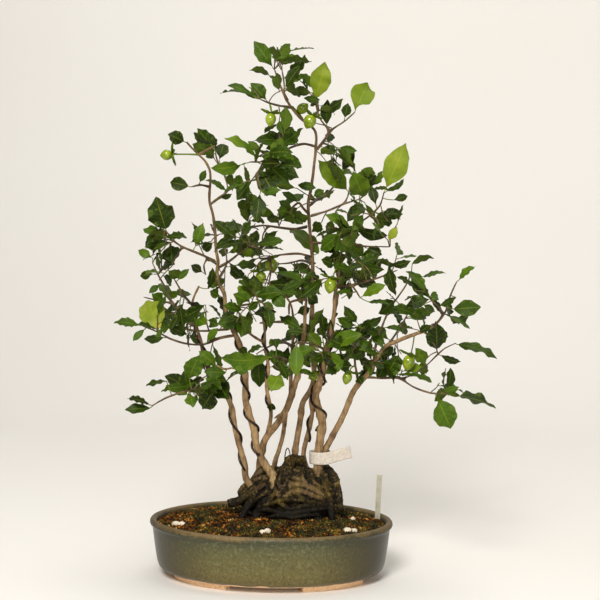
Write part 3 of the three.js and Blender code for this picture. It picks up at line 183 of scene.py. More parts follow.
def speckle(tree, coordinates, size, detail=2.0, roughness=0.5):
    """Noise whose grains are about as large as a size in metres."""
    node = add(tree, "ShaderNodeTexNoise",
               {"Vector": coordinates, "Scale": 0.5 / size, "Detail": detail, "Roughness": roughness})
    return node.outputs["Fac"]


def bumped(tree, shader, height, depth, strength=1.0):
    """Raises a surface by a height from 0 to 1, times a depth in metres."""
    node = add(tree, "ShaderNodeBump", {"Height": height, "Distance": depth, "Strength": strength})
    tree.links.new(node.outputs[0], shader.inputs["Normal"])


def finish_with(tree, shader, colour, roughness=None):
    """Links a colour, and a roughness that varies, to a shader."""
    tree.links.new(colour, shader.inputs["Base Color"])
    if roughness is not None:
        tree.links.new(roughness, shader.inputs["Roughness"])


def clouded_surface(name, clouds, stops, relief, depth, **values):
    """A material whose colour drifts with one noise while another raises it to a depth in metres; each
    noise is given as its size, detail and roughness."""
    material, tree, shader, place = new_surface(name, **values)
    finish_with(tree, shader, graded(tree, speckle(tree, place, *clouds), *stops))
    bumped(tree, shader, speckle(tree, place, *relief), depth)
    return material


def stoneware_glaze():
    """Reduction-fired stoneware glaze, dipped: sage green with darker specks, painted shade in dark brown
    towards the pot's two ends, less of it at the lip, broken to a drier brown where it runs thin at the rim
    and at the foot, and the bare tan clay of the feet."""
    material, tree, shader, place = new_surface("stoneware_glaze", IOR=1.42)
    height = add(tree, "ShaderNodeSeparateXYZ", {0: place}).outputs["Z"]
    drift = speckle(tree, place, 14 * MM, 3.0)
    wavy = add(tree, "ShaderNodeMath", {0: height, 1: spread(tree, drift, 0.3, 0.7, -2.4 * MM, 2.4 * MM)},
               operation="ADD").outputs[0]
    body = graded(tree, spread(tree, wavy, 7 * MM, POT_HEIGHT),
                  (0.0, "#5c4526"), (0.06, "#63572d"), (0.3, "#62592f"), (0.68, "#55522e"), (0.84, "#43452d"),
                  (0.925, "#3b3b24"), (0.955, "#5e4c2b"), (1.0, "#76603d"))
    specks = speckle(tree, place, 1.3 * MM, 3.0, 0.6)
    crystals = speckle(tree, place, 1.8 * MM, 3.0, 0.6)
    glaze = tinted(tree, body, "#2f301d", specks, 0.48, 0.68, 0.55)
    glaze = tinted(tree, glaze, "#807d54", crystals, 0.5, 0.7, 0.42)
    # Painted shade: the glaze darkens towards the pot's two ends, less so at the lip.
    along_pot = add(tree, "ShaderNodeMapping",
                    {0: place, "Location": (-POT_MIDDLE.x, 0, 0), "Scale": (1, 0, 0)}).outputs[0]
    from_middle = add(tree, "ShaderNodeVectorMath", {0: along_pot}, operation="LENGTH").outputs["Value"]
    below_lip = spread(tree, wavy, 0.91 * POT_HEIGHT, 0.96 * POT_HEIGHT, 1, 0.3)
    painted_end_shade = add(tree, "ShaderNodeMath",
                  {0: spread(tree, from_middle, 0.2 * POT_LENGTH, 0.45 * POT_LENGTH, 0, 0.88), 1: below_lip},
                  operation="MULTIPLY").outputs[0]
    glaze = mixed(tree, painted_end_shade, glaze, "#261f10")
    clay = graded(tree, speckle(tree, place, 1.5 * MM, 3.0), (0.3, "#e0b589"), (0.7, "#f6d4ab"))
    is_glazed = spread(tree, wavy, 8.2 * MM, 9.2 * MM)
    thin = spread(tree, wavy, 0.9 * POT_HEIGHT, 0.97 * POT_HEIGHT, 0.34, 0.62)
    dry = add(tree, "ShaderNodeMath", {0: thin, 1: spread(tree, is_glazed, 0, 1, 0.85, 0)},
              operation="MAXIMUM").outputs[0]
    finish_with(tree, shader, mixed(tree, is_glazed, clay, glaze), dry)
    bumped(tree, shader, specks, 0.12 * MM, 0.5)
    return material


def baked_clay_grains():
    """Akadama, baked volcanic clay broken to grains: matte brown, some orange, some nearly black when wet."""
    material, tree, shader, place = new_surface("baked_clay_grains", Roughness=0.95, IOR=1.2)
    by_grain = add(tree, "ShaderNodeAttribute", attribute_name="grain_tone").outputs["Fac"]
    tone = graded(tree, by_grain, (0.0, "#080400"), (0.3, "#1c1104"), (0.52, "#452a0a"), (0.7, "#7d4b15"),
                  (0.84, "#c67d28"), (1.0, "#f2c276"))
    fine = speckle(tree, place, 0.7 * MM, 3.0)
    finish_with(tree, shader, tinted(tree, tone, "#1d140a", fine, 0.4, 0.7, 0.4))
    bumped(tree, shader, fine, 0.25 * MM)
    return material


def potting_soil():
    """Damp soil under the grains: nearly black brown with fine crumbs."""
    crumbs = (1.6 * MM, 4.0, 0.6)
    return clouded_surface("potting_soil", crumbs, ((0.3, "#0e0904"), (0.5, "#23170a"), (0.68, "#4a3016")),
                           crumbs, 0.8 * MM, Roughness=0.95, IOR=1.4)


def live_moss():
    """Living moss: short soft shoots, olive green, some of them yellower."""
    material, tree, shader, place = new_surface("live_moss", Roughness=0.9, IOR=1.2)
    by_grain = add(tree, "ShaderNodeAttribute", attribute_name="grain_tone").outputs["Fac"]
    tone = graded(tree, by_grain, (0.0, "#0c0f01"), (0.4, "#202404"), (0.7, "#43440a"), (1.0, "#857a1f"))
    fine = speckle(tree, place, 0.9 * MM, 2.0)
    finish_with(tree, shader, tinted(tree, tone, "#15190a", fine, 0.4, 0.7, 0.5))
    shader.inputs["Sheen Weight"].default_value = 0.15
    return material


def persimmon_bark():
    """Young persimmon bark, grown: pale tan with darker bands and flakes and fine fissures along the stem.
    The attribute it reads goes from the pale young wood to the dark old roots, darker still near the ground;
    on the root mass it also carries painted shade in hollows and painted highlights on ridges."""
    material, tree, shader, place = new_surface("persimmon_bark", Roughness=0.9, IOR=1.24)
    age_and_shading = add(tree, "ShaderNodeAttribute", attribute_name="bark_age_and_shading").outputs["Fac"]
    stretched = add(tree, "ShaderNodeMapping", {0: place, "Scale": (1, 1, 0.28)}).outputs[0]
    fissures = speckle(tree, stretched, 1.7 * MM, 4.0, 0.65)
    patches = speckle(tree, place, 9 * MM, 3.0, 0.6)
    young = graded(tree, patches, (0.3, "#5f4a35"), (0.44, "#876d4d"), (0.58, "#a78a63"), (0.75, "#c7ad82"))
    young = tinted(tree, young, "#472f1a", fissures, 0.46, 0.68, 0.7)
    old = graded(tree, patches, (0.34, "#0d0a03"), (0.48, "#1f1807"), (0.58, "#413413"), (0.7, "#786129"))
    old = tinted(tree, old, "#0f0a05", fissures, 0.48, 0.66, 0.6)
    flecks = speckle(tree, place, 1.6 * MM, 4.0, 0.65)
    old = tinted(tree, old, "#86744a", flecks, 0.54, 0.7, 0.6)
    # On the root mass, lower values on ridges are a painted highlight that mixes in the pale young bark.
    worn = add(tree, "ShaderNodeMath", {0: age_and_shading, 1: spread(tree, patches, 0.3, 0.7, -0.25, 0.25)},
               operation="ADD").outputs[0]
    bark = mixed(tree, spread(tree, worn, 0.0, 0.95), young, old)
    # Above 1 the bark darkens nearly to black: roots near the ground, and painted shade in the root mass's
    # hollows.
    finish_with(tree, shader, tinted(tree, bark, "#0e0a05", age_and_shading, 1.0, 1.9, 0.92),
                spread(tree, age_and_shading, 0.8, 1.6, 0.85, 0.66))
    bumped(tree, shader, fissures, 0.5 * MM)
    return material


def green_twig():
    """The season's shoots: thin brown-green bark, lightly waxed."""
    browns = (0.35, "#3c2d1b"), (0.5, "#58452c"), (0.65, "#6f5c3c")
    return clouded_surface("green_twig", (7 * MM, 2.0), browns, (1 * MM, 2.0), 0.15 * MM,
                           Roughness=0.6, IOR=1.45)


# The sine wave that draws the side veins runs through this many radians from foot to tip: seven veins.
VEIN_WAVE = 44.0


def persimmon_leaf():
    """Leaf with a waxed green upper face, a paler matte underside and a light midrib with fine side veins.
    The attribute leaf_tone goes from deep green to the yellow-green of leaves that the light shines through;
    the map blade runs from foot to tip along v and from edge to edge along u."""
    material, tree, shader, place = new_surface("persimmon_leaf", IOR=1.4)
    tone = add(tree, "ShaderNodeAttribute", attribute_name="leaf_tone").outputs["Fac"]
    under = add(tree, "ShaderNodeAttribute", attribute_name="leaf_under").outputs["Fac"]
    blade = add(tree, "ShaderNodeSeparateXYZ", {0: add(tree, "ShaderNodeUVMap", uv_map="blade").outputs[0]})
    cloudy = speckle(tree, place, 12 * MM, 2.0)
    mottled = add(tree, "ShaderNodeMath", {0: tone, 1: spread(tree, cloudy, 0.3, 0.7, -0.09, 0.09)},
                  operation="ADD").outputs[0]
    green = graded(tree, mottled, (0.0, "#161e02"), (0.25, "#223403"), (0.5, "#3a5507"), (0.68, "#576e0e"),
                   (0.82, "#6b7b19"), (0.92, "#858f2b"), (1.0, "#b98a3a"))
    from_rib = add(tree, "ShaderNodeMath", {0: blade.outputs["X"], 1: 0.5}, operation="SUBTRACT").outputs[0]
    from_rib = add(tree, "ShaderNodeMath", {0: from_rib}, operation="ABSOLUTE").outputs[0]
    rib = spread(tree, from_rib, 0.012, 0.035, 1, 0)
    slanted = add(tree, "ShaderNodeMath", {0: from_rib, 1: -0.55, 2: blade.outputs["Y"]},
                  operation="MULTIPLY_ADD").outputs[0]
    wave = add(tree, "ShaderNodeMath", {0: slanted, 1: VEIN_WAVE}, operation="MULTIPLY").outputs[0]
    wave = add(tree, "ShaderNodeMath", {0: wave}, operation="SINE").outputs[0]
    veins = spread(tree, wave, 0.86, 1.0)
    lines = add(tree, "ShaderNodeMath", {0: rib, 1: spread(tree, veins, 0, 1, 0, 0.45)},
                operation="MAXIMUM").outputs[0]
    light_green = mixed(tree, 0.4, green, "#9aa534")
    upper = tinted(tree, green, light_green, lines, 0, 1, 0.65)
    pale = mixed(tree, 0.38, upper, "#637428")
    finish_with(tree, shader, mixed(tree, under, upper, pale), spread(tree, under, 0, 1, 0.5, 0.75))
    shader.inputs["Specular IOR Level"].default_value = 0.2
    relief = add(tree, "ShaderNodeMath", {0: cloudy, 1: spread(tree, lines, 0, 1, 0, -0.5)},
                 operation="ADD").outputs[0]
    bumped(tree, shader, relief, 0.35 * MM, 0.7)
    return material


def fruit_skin():
    """Unripe fruit: taut waxed skin, yellow-green with pale flecks."""
    material, tree, shader, place = new_surface("fruit_skin", IOR=1.46, Roughness=0.22)
    shade = speckle(tree, place, 6 * MM, 2.0)
    base = graded(tree, shade, (0.32, "#5a6e0c"), (0.5, "#778911"), (0.68, "#95a51c"))
    flecks = speckle(tree, place, 0.8 * MM, 1.0)
    finish_with(tree, shader, tinted(tree, base, "#a5ad42", flecks, 0.62, 0.72, 0.5))
    shader.inputs["Coat Weight"].default_value = 0.3
    bumped(tree, shader, flecks, 0.05 * MM)
    return material


def anodised_aluminium():
    """Annealed aluminium wire, anodised dark brown: a soft metallic sheen, scuffed here and there."""
    material, tree, shader, place = new_surface("anodised_aluminium", Metallic=0.85)
    scuffs = speckle(tree, place, 2.5 * MM, 3.0)
    finish_with(tree, shader, graded(tree, scuffs, (0.35, "#1d1712"), (0.55, "#3a2c22"), (0.75, "#6a5342")),
                spread(tree, scuffs, 0.3, 0.7, 0.38, 0.55))
    bumped(tree, shader, scuffs, 0.08 * MM)
    return material


def label_plastic():
    """Polypropylene plant label, moulded: milky white-grey, matte, lightly stained."""
    translucent = {"Transmission Weight": 0.12}
    whites = (0.3, "#9c9881"), (0.6, "#b5b09a"), (0.8, "#c2bea9")
    return clouded_surface("label_plastic", (6 * MM, 3.0), whites, (0.8 * MM, 2.0), 0.03 * MM,
                           IOR=1.49, Roughness=0.45, **translucent)


def tag_paper():
    """Uncoated white paper, blank: a faint fibre and soft creases."""
    fibres, creases = (1.4 * MM, 4.0, 0.6), (5 * MM, 2.0)
    return clouded_surface("tag_paper", fibres, ((0.3, "#b3a99b"), (0.6, "#cac0b2"), (0.8, "#d6cdc0")),
                           creases, 0.3 * MM, IOR=1.4, Roughness=0.85)


def river_pebble():
    """Small river stone, tumbled: chalky white to cream with faint grey clouds."""
    whites = (0.3, "#a7967a"), (0.5, "#ddcfb4"), (0.7, "#f0e6d2")
    return clouded_surface("river_pebble", (3 * MM, 3.0), whites, (0.8 * MM, 2.0), 0.1 * MM,
                           IOR=1.5, Roughness=0.7)


def black_mesh_plastic():
    """Polyethylene drain mesh, moulded: matte black with a dusting of clay."""
    dust = (3 * MM, 3.0)
    return clouded_surface("black_mesh_plastic", dust, ((0.4, "#16181a"), (0.7, "#4a3a28")), dust, 0.1 * MM,
                           IOR=1.5, Roughness=0.6)


# Meshes


def placed_in_scene(name, mesh):
    """A new object that carries a mesh."""
    carrier = bpy.data.objects.new(name, mesh)
    bpy.context.scene.collection.objects.link(carrier)
    return carrier


def finished(name, mesh, body_slot, *nodes):
    """A piece in the scene, riding on the part's one body, that stands for the nodes it dresses."""
    piece = placed_in_scene(name, mesh)
    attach(piece, "root")
    if nodes:
        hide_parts(*nodes)


def mesh_of(name, points, faces, *materials):
    """A smooth mesh from points and faces."""
    mesh = bpy.data.meshes.new(name)
    mesh.from_pydata([tuple(p) for p in points], [], faces)
    for material in materials:
        mesh.materials.append(material)
    mesh.polygons.foreach_set("use_smooth", [True] * len(mesh.polygons))
    mesh.update()
    return mesh


def facing_out(mesh):
    """Turns a closed mesh's faces outwards."""
    shell = bmesh.new()
    shell.from_mesh(mesh)
    bmesh.ops.recalc_face_normals(shell, faces=shell.faces)
    shell.to_mesh(mesh)
    shell.free()
    return mesh


def made_real(name, carrier):
    """The plain mesh that a carrier's modifiers make of its own; the carrier goes."""
    graph = bpy.context.evaluated_depsgraph_get()
    mesh = bpy.data.meshes.new_from_object(carrier.evaluated_get(graph))
    mesh.name = name
    bpy.data.objects.remove(carrier)
    return mesh


def applied(name, mesh, *modifiers):
    """The mesh with modifiers, each a type and its settings, made real."""
    carrier = placed_in_scene(name, mesh)
    for kind, settings in modifiers:
        modifier = carrier.modifiers.new(kind.lower(), kind)
        for setting, value in settings.items():
            setattr(modifier, setting, value)
    return made_real(name, carrier)


def refinished(mesh, material):
    """Gives a mesh that modifiers made its one material and smooth faces."""
    mesh.materials.clear()
    mesh.materials.append(material)
    mesh.polygons.foreach_set("use_smooth", [True] * len(mesh.polygons))


def swollen(mesh, rise_at):
    """Moves each vertex along its normal by a length that depends on its place."""
    normals = [v.normal.copy() for v in mesh.vertices]
    places = [v.co.copy() for v in mesh.vertices]
    moved = [p + n * rise_at(p) for p, n in zip(places, normals)]
    mesh.vertices.foreach_set("co", [number for place in moved for number in place])
    mesh.update()


def middle_of(places):
    """The mean of some places."""
    return sum(places, Vector()) / len(places)


def rings_to_mesh(rings, start=0):
    """Points and faces of a closed skin through rings of equal count, with a fan over each end."""
    count = len(rings[0])
    points = [p for ring in rings for p in ring] + [middle_of(rings[0]), middle_of(rings[-1])]
    last = start + (len(rings) - 1) * count
    first_fan, last_fan = last + count, last + count + 1
    faces = []
    for ring_start in range(start, last, count):
        for i in range(count):
            a, b = ring_start + i, ring_start + (i + 1) % count
            faces.append((a, b, b + count, a + count))
    for i in range(count):
        j = (i + 1) % count
        faces.append((start + j, start + i, first_fan))
        faces.append((last + i, last + j, last_fan))
    return points, faces


CURVE_STEPS = 12


def curve_between(p0, p1, p2, p3):
    """Places on the centripetal Catmull-Rom curve from its second point up to its third."""
    t1 = (p1 - p0).length ** 0.5
    t2 = t1 + (p2 - p1).length ** 0.5
    t3 = t2 + (p3 - p2).length ** 0.5
    places = []
    for k in range(CURVE_STEPS):
        t = t1 + (t2 - t1) * k / CURVE_STEPS
        a1 = p0 * ((t1 - t) / t1) + p1 * (t / t1)
        a2 = p1 * ((t2 - t) / (t2 - t1)) + p2 * ((t - t1) / (t2 - t1))
        a3 = p2 * ((t3 - t) / (t3 - t2)) + p3 * ((t - t2) / (t3 - t2))
        b1 = a1 * ((t2 - t) / t2) + a2 * (t / t2)
        b2 = a2 * ((t3 - t) / (t3 - t1)) + a3 * ((t - t1) / (t3 - t1))
        places.append(b1 * ((t2 - t) / (t2 - t1)) + b2 * ((t - t1) / (t2 - t1)))
    return places


def reaches_of(places):
    """How far along a line of places each of them lies."""
    return [0.0, *accumulate((other - one).length for one, other in zip(places, places[1:]))]


def evenly_spaced(line, step):
    """Places about a step apart on a line of places."""
    reach = reaches_of(line)
    count = max(2, round(reach[-1] / step))
    places, low = [], 0
    for k in range(count + 1):
        target = reach[-1] * k / count
        while low < len(line) - 2 and reach[low + 1] < target:
            low += 1
        span = reach[low + 1] - reach[low] or 1
        places.append(line[low].lerp(line[low + 1], (target - reach[low]) / span))
    return places


def smooth_path(points, step):
    """Evenly spaced places on a centripetal Catmull-Rom curve through points."""
    points = [Vector(p) for p in points]
    padded = [points[0] * 2 - points[1], *points, points[-1] * 2 - points[-2]]
    fine = []
    for four in zip(padded, padded[1:], padded[2:], padded[3:]):
        fine += curve_between(*four)
    return evenly_spaced([*fine, points[-1]], step)


def tangent_at(path, k):
    """The direction of a path at one of its places."""
    return (path[min(k + 1, len(path) - 1)] - path[max(k - 1, 0)]).normalized()


def frames_along(path):
    """For each place on a path, two directions across it that turn as little as they can."""
    side = tangent_at(path, 0).orthogonal().normalized()
    frames = []
    for k in range(len(path)):
        tangent = tangent_at(path, k)
        side = (side - tangent * side.dot(tangent)).normalized()
        frames.append((side.copy(), tangent.cross(side)))
    return frames


def around(frame_across, angle):
    """The direction at an angle between the two that a frame gives."""
    one, other = frame_across
    return one * math.cos(angle) + other * math.sin(angle)


def along(values, share):
    """A value at a share of a list of values spread evenly."""
    place = min(max(share, 0), 1) * (len(values) - 1)
    low = min(int(place), len(values) - 2)
    return values[low] + (values[low + 1] - values[low]) * (place - low)


FINER_GRAIN = 2.6
FLUTE_DEPTH = 0.07
FLUTE_TWIST = 9


def tube_rings(path, radii, sides, rough=0.0, grain=6 * MM, flutes=0):
    """Rings round a path whose radius follows radii, roughened by a share of it, with grooves or without."""
    rings = []
    for k, (middle, frame_across) in enumerate(zip(path, frames_along(path))):
        share = k / (len(path) - 1)
        radius = along(radii, share)
        ring = []
        for i in range(sides):
            angle = FULL_TURN * i / sides
            out = around(frame_across, angle)
            place = middle + out * radius
            swell = 1 + rough * (noise.noise(place / grain) + 0.5 * noise.noise(place / grain * FINER_GRAIN))
            if flutes:
                swell += FLUTE_DEPTH * math.sin(flutes * angle + FLUTE_TWIST * share)
            ring.append(middle + out * radius * swell)
        rings.append(ring)
    return rings


class Skins:
    """Points, faces and bark ages of several closed skins that make one mesh."""

    def __init__(self):
        self.points, self.faces, self.ages = [], [], []

    def tube(self, path, radii, sides, age_and_shading=None, **look):
        """Adds a tube along a path, with the bark's age at each place from a function, when one is given."""
        points, faces = rings_to_mesh(tube_rings(path, radii, sides, **look), len(self.points))
        self.points += points
        self.faces += faces
        self.ages += [age_and_shading(p) if age_and_shading else 0.0 for p in points]

    def mesh(self, name, *materials):
        """The skins as one mesh that carries the bark's age for persimmon_bark."""
        mesh = facing_out(mesh_of(name, self.points, self.faces, *materials))
        set_bark_age_and_shading(mesh, self.ages)
        return mesh


def set_bark_age_and_shading(mesh, ages):
    """Stores the bark's value at each vertex, for persimmon_bark to read: how old the bark is, and on the
    root mass also its painted shade in hollows and painted highlights on ridges.
    """
    mesh.attributes.new("bark_age_and_shading", "FLOAT", "POINT").data.foreach_set("value", ages)


WELD_DISTANCE = 0.003 * MM


def merged_copy(node):
    """A node's solid with its loose triangles joined at their corners."""
    solid = bmesh.new()
    solid.from_mesh(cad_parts[node].data)
    bmesh.ops.remove_doubles(solid, verts=solid.verts, dist=WELD_DISTANCE)
    solid.verts.ensure_lookup_table()
    solid.verts.index_update()
    return solid


def taken_out(solid, name):
    """A merged solid as a mesh of its own; the solid goes."""
    mesh = bpy.data.meshes.new(name)
    solid.to_mesh(mesh)
    solid.free()
    return mesh


def nodes_named(start):
    """The names of the nodes that start in one way, in order."""
    return sorted(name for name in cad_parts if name.startswith(start))


def dressed(node, material):
    """A node whose shape is right gets a finish."""
    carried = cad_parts[node]
    carried.data.materials.clear()
    carried.data.materials.append(material)


# Pot

POT_SIDES = 168
# The pot's outline from under its floor over the lip to the floor inside: the inset from the rim and the
# height, in millimetres.
POT_PROFILE = [(60, 7), (40, 7), (24, 7), (19.5, 7.4), (14.5, 10), (11, 13.5), (9.2, 19), (7.8, 26),
               (6.2, 37), (4.8, 48), (3.7, 57), (3.3, 61), (2.6, 62.6), (0.7, 64.2), (0, 66), (0.3, 68.4),
               (1.6, 70.2), (3.8, 71), (6.4, 70.4), (8.2, 68.6), (9, 64), (10.5, 50), (12.5, 36), (15, 26),
               (20, 18.6), (30, 15), (45, 15), (60, 15)]
FOOT_STEPS = 24
FOOT_CORNER = 1.2 * MM
FOOT_CORNER_RISE = 1.4 * MM
FOOT_INTO_BOWL = 2 * MM
DRAIN_SPACING = 130 * MM
DRAIN_RADIUS = 10 * MM
DRAIN_TOP = 30 * MM
DRAIN_SIDES = 40
SHARP_ANGLE = math.radians(40)


def on_oval(inset, angle, z):
    """A place on an oval that is inset from the pot's rim."""
    return POT_MIDDLE + Vector(((POT_LENGTH / 2 - inset) * math.cos(angle),
                                (POT_WIDTH / 2 - inset) * math.sin(angle), z))


def oval(inset, z, sides=POT_SIDES):
    """One level ring of the pot, inset from its rim."""
    return [on_oval(inset, FULL_TURN * i / sides, z) for i in range(sides)]


def foot_rings(start, end):
    """Sections of one foot from an angle in degrees to another, with blunt lower edges and ends."""
    outer, inner = FOOT_RING_INSET, FOOT_RING_INSET + FOOT_RING_WIDTH
    top = FOOT_HEIGHT + FOOT_INTO_BOWL
    rings = []
    for k in range(FOOT_STEPS + 1):
        angle = math.radians(start + (end - start) * k / FOOT_STEPS)
        blunt = FOOT_CORNER if k in (0, FOOT_STEPS) else 0
        section = ((outer - 1 * MM, top), (outer + blunt, FOOT_CORNER_RISE), (outer + FOOT_CORNER, 0),
                   (inner - FOOT_CORNER, 0), (inner - blunt, FOOT_CORNER_RISE), (inner, top))
        rings.append([on_oval(inset, angle, z) for inset, z in section])
    return rings


def helper_of(name, rings):
    """A helper object that a boolean reads, deleted once the pot is made."""
    return placed_in_scene(name, facing_out(mesh_of(name, *rings_to_mesh(rings))))


def foot_helpers():
    """The four feet, two on each long side."""
    near, far = FOOT_ANGLES
    return [helper_of(f"foot_{middle + start}", foot_rings(middle + start, middle + end))
            for middle in (90, 270) for start, end in ((-far, -near), (near, far))]


def drain_helpers():
    """The two upright cylinders that cut the drain holes."""
    helpers = []
    for side in (-1, 1):
        axis = POT_MIDDLE + Vector((side * DRAIN_SPACING / 2, 0, 0))
        turns = [FULL_TURN * i / DRAIN_SIDES for i in range(DRAIN_SIDES)]
        rings = [[axis + Vector((DRAIN_RADIUS * math.cos(a), DRAIN_RADIUS * math.sin(a), z)) for a in turns]
                 for z in (0, DRAIN_TOP)]
        helpers.append(helper_of(f"drain_{side}", rings))
    return helpers


def creased(mesh):
    """Turns a mesh's faces outwards, and keeps its sharp edges sharp in a smooth surface."""
    shell = bmesh.new()
    shell.from_mesh(mesh)
    bmesh.ops.recalc_face_normals(shell, faces=shell.faces)
    for face in shell.faces:
        face.material_index = 0
    for edge in shell.edges:
        if edge.is_manifold and edge.calc_face_angle() > SHARP_ANGLE:
            edge.smooth = False
    shell.to_mesh(mesh)
    shell.free()


def make_pot(glaze):
    """The oval bowl with its rolled lip, four feet and two drain holes."""
    rings = [oval(inset * MM, z * MM) for inset, z in POT_PROFILE]
    bowl = facing_out(mesh_of("pot_shell", *rings_to_mesh(rings), glaze))
    feet, drains = foot_helpers(), drain_helpers()
    pot = applied("glazed_pot", bowl,
                  *(("BOOLEAN", {"operation": "UNION", "object": foot}) for foot in feet),
                  *(("BOOLEAN", {"operation": "DIFFERENCE", "object": drain}) for drain in drains))
    for helper in feet + drains:
        bpy.data.objects.remove(helper)
    refinished(pot, glaze)
    creased(pot)
    finished("glazed_pot", pot, "pot_glaze", "pot")


# Soil, moss and stones

SOIL_SIDES = 120
SOIL_WALLS = [(60, 17.2), (28, 17.2), (15.6, 26.8), (11, 50.2)]
SOIL_INSET = 9.6 * MM
SOIL_MARGIN = 10
SOIL_RING_COUNT = 46
INNERMOST_RING = 0.015
CRUMB_HEIGHT = 0.9
CRUMB_SIZE = 4 * MM
GRAINS_PER_SQUARE_METRE = 150000
GRAIN_SIZE = 1.5 * MM
SHOOTS_PER_SQUARE_METRE = 260000
SHOOT_HEIGHT = 3.2 * MM
MOSS_CHANGES_PER_METRE = 34.0
TONE_CHANGES_PER_METRE = 70.0


def soil_height(x, y):
    """The soil's height, in millimetres, at a place in millimetres from the pot's middle."""
    half_length, half_width = (size / MM / 2 - SOIL_MARGIN for size in (POT_LENGTH, POT_WIDTH))
    reach = min(1, math.hypot(x / half_length, y / half_width))
    mound = math.cos(reach * math.pi / 2) ** 0.8 if reach < 1 else 0
    lumps = 0.9 * math.sin(x / 17 + 1.3) * math.cos(y / 13) + 0.6 * math.sin(x / 7.5 - y / 9)
    level = (SOIL_EDGE + (SOIL_MIDDLE - SOIL_EDGE) * mound) / MM
    return level + lumps * (1 - 0.5 * reach)


def soil_rings():
    """The soil's upper face from the pot's wall to its middle."""
    rings = []
    for k in range(SOIL_RING_COUNT):
        share = 1 - (1 - INNERMOST_RING) * k / (SOIL_RING_COUNT - 1)
        ring = []
        for place in oval(SOIL_INSET, 0, SOIL_SIDES):
            offset = (place - POT_MIDDLE) * share
            height = soil_height(offset.x / MM, offset.y / MM)
            crumbs = CRUMB_HEIGHT * noise.noise(offset / CRUMB_SIZE) if k else 0
            ring.append(POT_MIDDLE + Vector((offset.x, offset.y, (height + crumbs) * MM)))
        rings.append(ring)
    return rings


def make_soil(soil):
    """The bed of soil, from the pot's floor to its mound."""
    walls = [oval(inset * MM, z * MM, SOIL_SIDES) for inset, z in SOIL_WALLS]
    points, faces = rings_to_mesh(walls + soil_rings())
    finished("soil_bed", facing_out(mesh_of("soil_bed", points, faces, soil)), "soil", "soil")


def moss_patches(tree):
    """A share from 0 to 1 that is high in uneven patches, more of them to the front and the right."""
    patches = add(tree, "ShaderNodeTexNoise",
                  {"Scale": MOSS_CHANGES_PER_METRE, "Detail": 4.0, "Roughness": 0.65})
    where = add(tree, "ShaderNodeSeparateXYZ", {0: add(tree, "GeometryNodeInputPosition").outputs[0]})
    rightward = add(tree, "ShaderNodeMath", {0: where.outputs["X"], 1: 0.45, 2: patches.outputs["Fac"]},
                    operation="MULTIPLY_ADD").outputs[0]
    frontward = add(tree, "ShaderNodeMath", {0: where.outputs["Y"], 1: -0.3, 2: rightward},
                    operation="MULTIPLY_ADD").outputs[0]
    return spread(tree, frontward, 0.45, 0.52)


def toned_points(tree, points):
    """Points that each carry a random grain_tone, which also drifts from place to place."""
    by_piece = add(tree, "FunctionNodeRandomValue", {"Seed": 3}, data_type="FLOAT").outputs[1]
    by_place = add(tree, "ShaderNodeTexNoise",
                   {"Scale": TONE_CHANGES_PER_METRE, "Detail": 2.0}).outputs["Fac"]
    tone = add(tree, "ShaderNodeMath", {0: by_piece, 1: 0.6, 2: spread(tree, by_place, 0.35, 0.65, 0, 0.4)},
               operation="MULTIPLY_ADD").outputs[0]
    return add(tree, "GeometryNodeStoreNamedAttribute",
               {"Geometry": points, "Name": "grain_tone", "Value": tone}, data_type="FLOAT", domain="POINT")


def random_vector(tree, seed, low, high):
    """A vector drawn for each point between two corners."""
    node = add(tree, "FunctionNodeRandomValue", {"Seed": seed}, data_type="FLOAT_VECTOR")
    node.inputs[0].default_value = low
    node.inputs[1].default_value = high
    return node.outputs[0]


UPRIGHT_TURN = ((-0.6, -0.6, 0), (0.6, 0.6, 6.28))
ANY_TURN = ((0, 0, 0), (6.28, 6.28, 6.28))
PIECE_SCALE = ((0.5, 0.5, 0.4), (1.5, 1.5, 1.3))


def scatter_tree(name, shape, is_moss):
    """A Geometry Nodes tree that strews a small shape over a surface: each at a random turn and size,
    with a random grain_tone. Its inputs are the pieces per square metre, their size and the seed."""
    tree = bpy.data.node_groups.new(name, "GeometryNodeTree")
    face = tree.interface
    for socket, kind in (("Surface", "NodeSocketGeometry"), ("Per square metre", "NodeSocketFloat"),
                         ("Size", "NodeSocketFloat"), ("Seed", "NodeSocketInt"),
                         ("Finish", "NodeSocketMaterial")):
        face.new_socket(socket, in_out="INPUT", socket_type=kind)
    face.new_socket("Strewn", in_out="OUTPUT", socket_type="NodeSocketGeometry")
    given = add(tree, "NodeGroupInput").outputs
    amount = given["Per square metre"]
    if is_moss:
        amount = add(tree, "ShaderNodeMath", {0: moss_patches(tree), 1: amount},
                     operation="MULTIPLY").outputs[0]
    points = add(tree, "GeometryNodeDistributePointsOnFaces",
                 {"Mesh": given["Surface"], "Density": amount, "Seed": given["Seed"]})
    toned = toned_points(tree, points.outputs["Points"])
    sized = add(tree, "ShaderNodeVectorMath",
                {0: random_vector(tree, 7, *PIECE_SCALE), "Scale": given["Size"]}, operation="SCALE")
    strewn = add(tree, "GeometryNodeInstanceOnPoints",
                 {"Points": toned.outputs[0], "Instance": shape(tree), "Scale": sized.outputs[0],
                  "Rotation": random_vector(tree, 5, *(UPRIGHT_TURN if is_moss else ANY_TURN))})
    real = add(tree, "GeometryNodeRealizeInstances", {0: strewn.outputs[0]})
    painted = add(tree, "GeometryNodeSetMaterial", {"Geometry": real.outputs[0], "Material": given["Finish"]})
    add(tree, "NodeGroupOutput", {0: painted.outputs[0]})
    return tree


def grain_shape(tree):
    """A clay grain: a crude ball, one unit in radius."""
    return add(tree, "GeometryNodeMeshIcoSphere", {"Radius": 1.0, "Subdivisions": 1}).outputs[0]


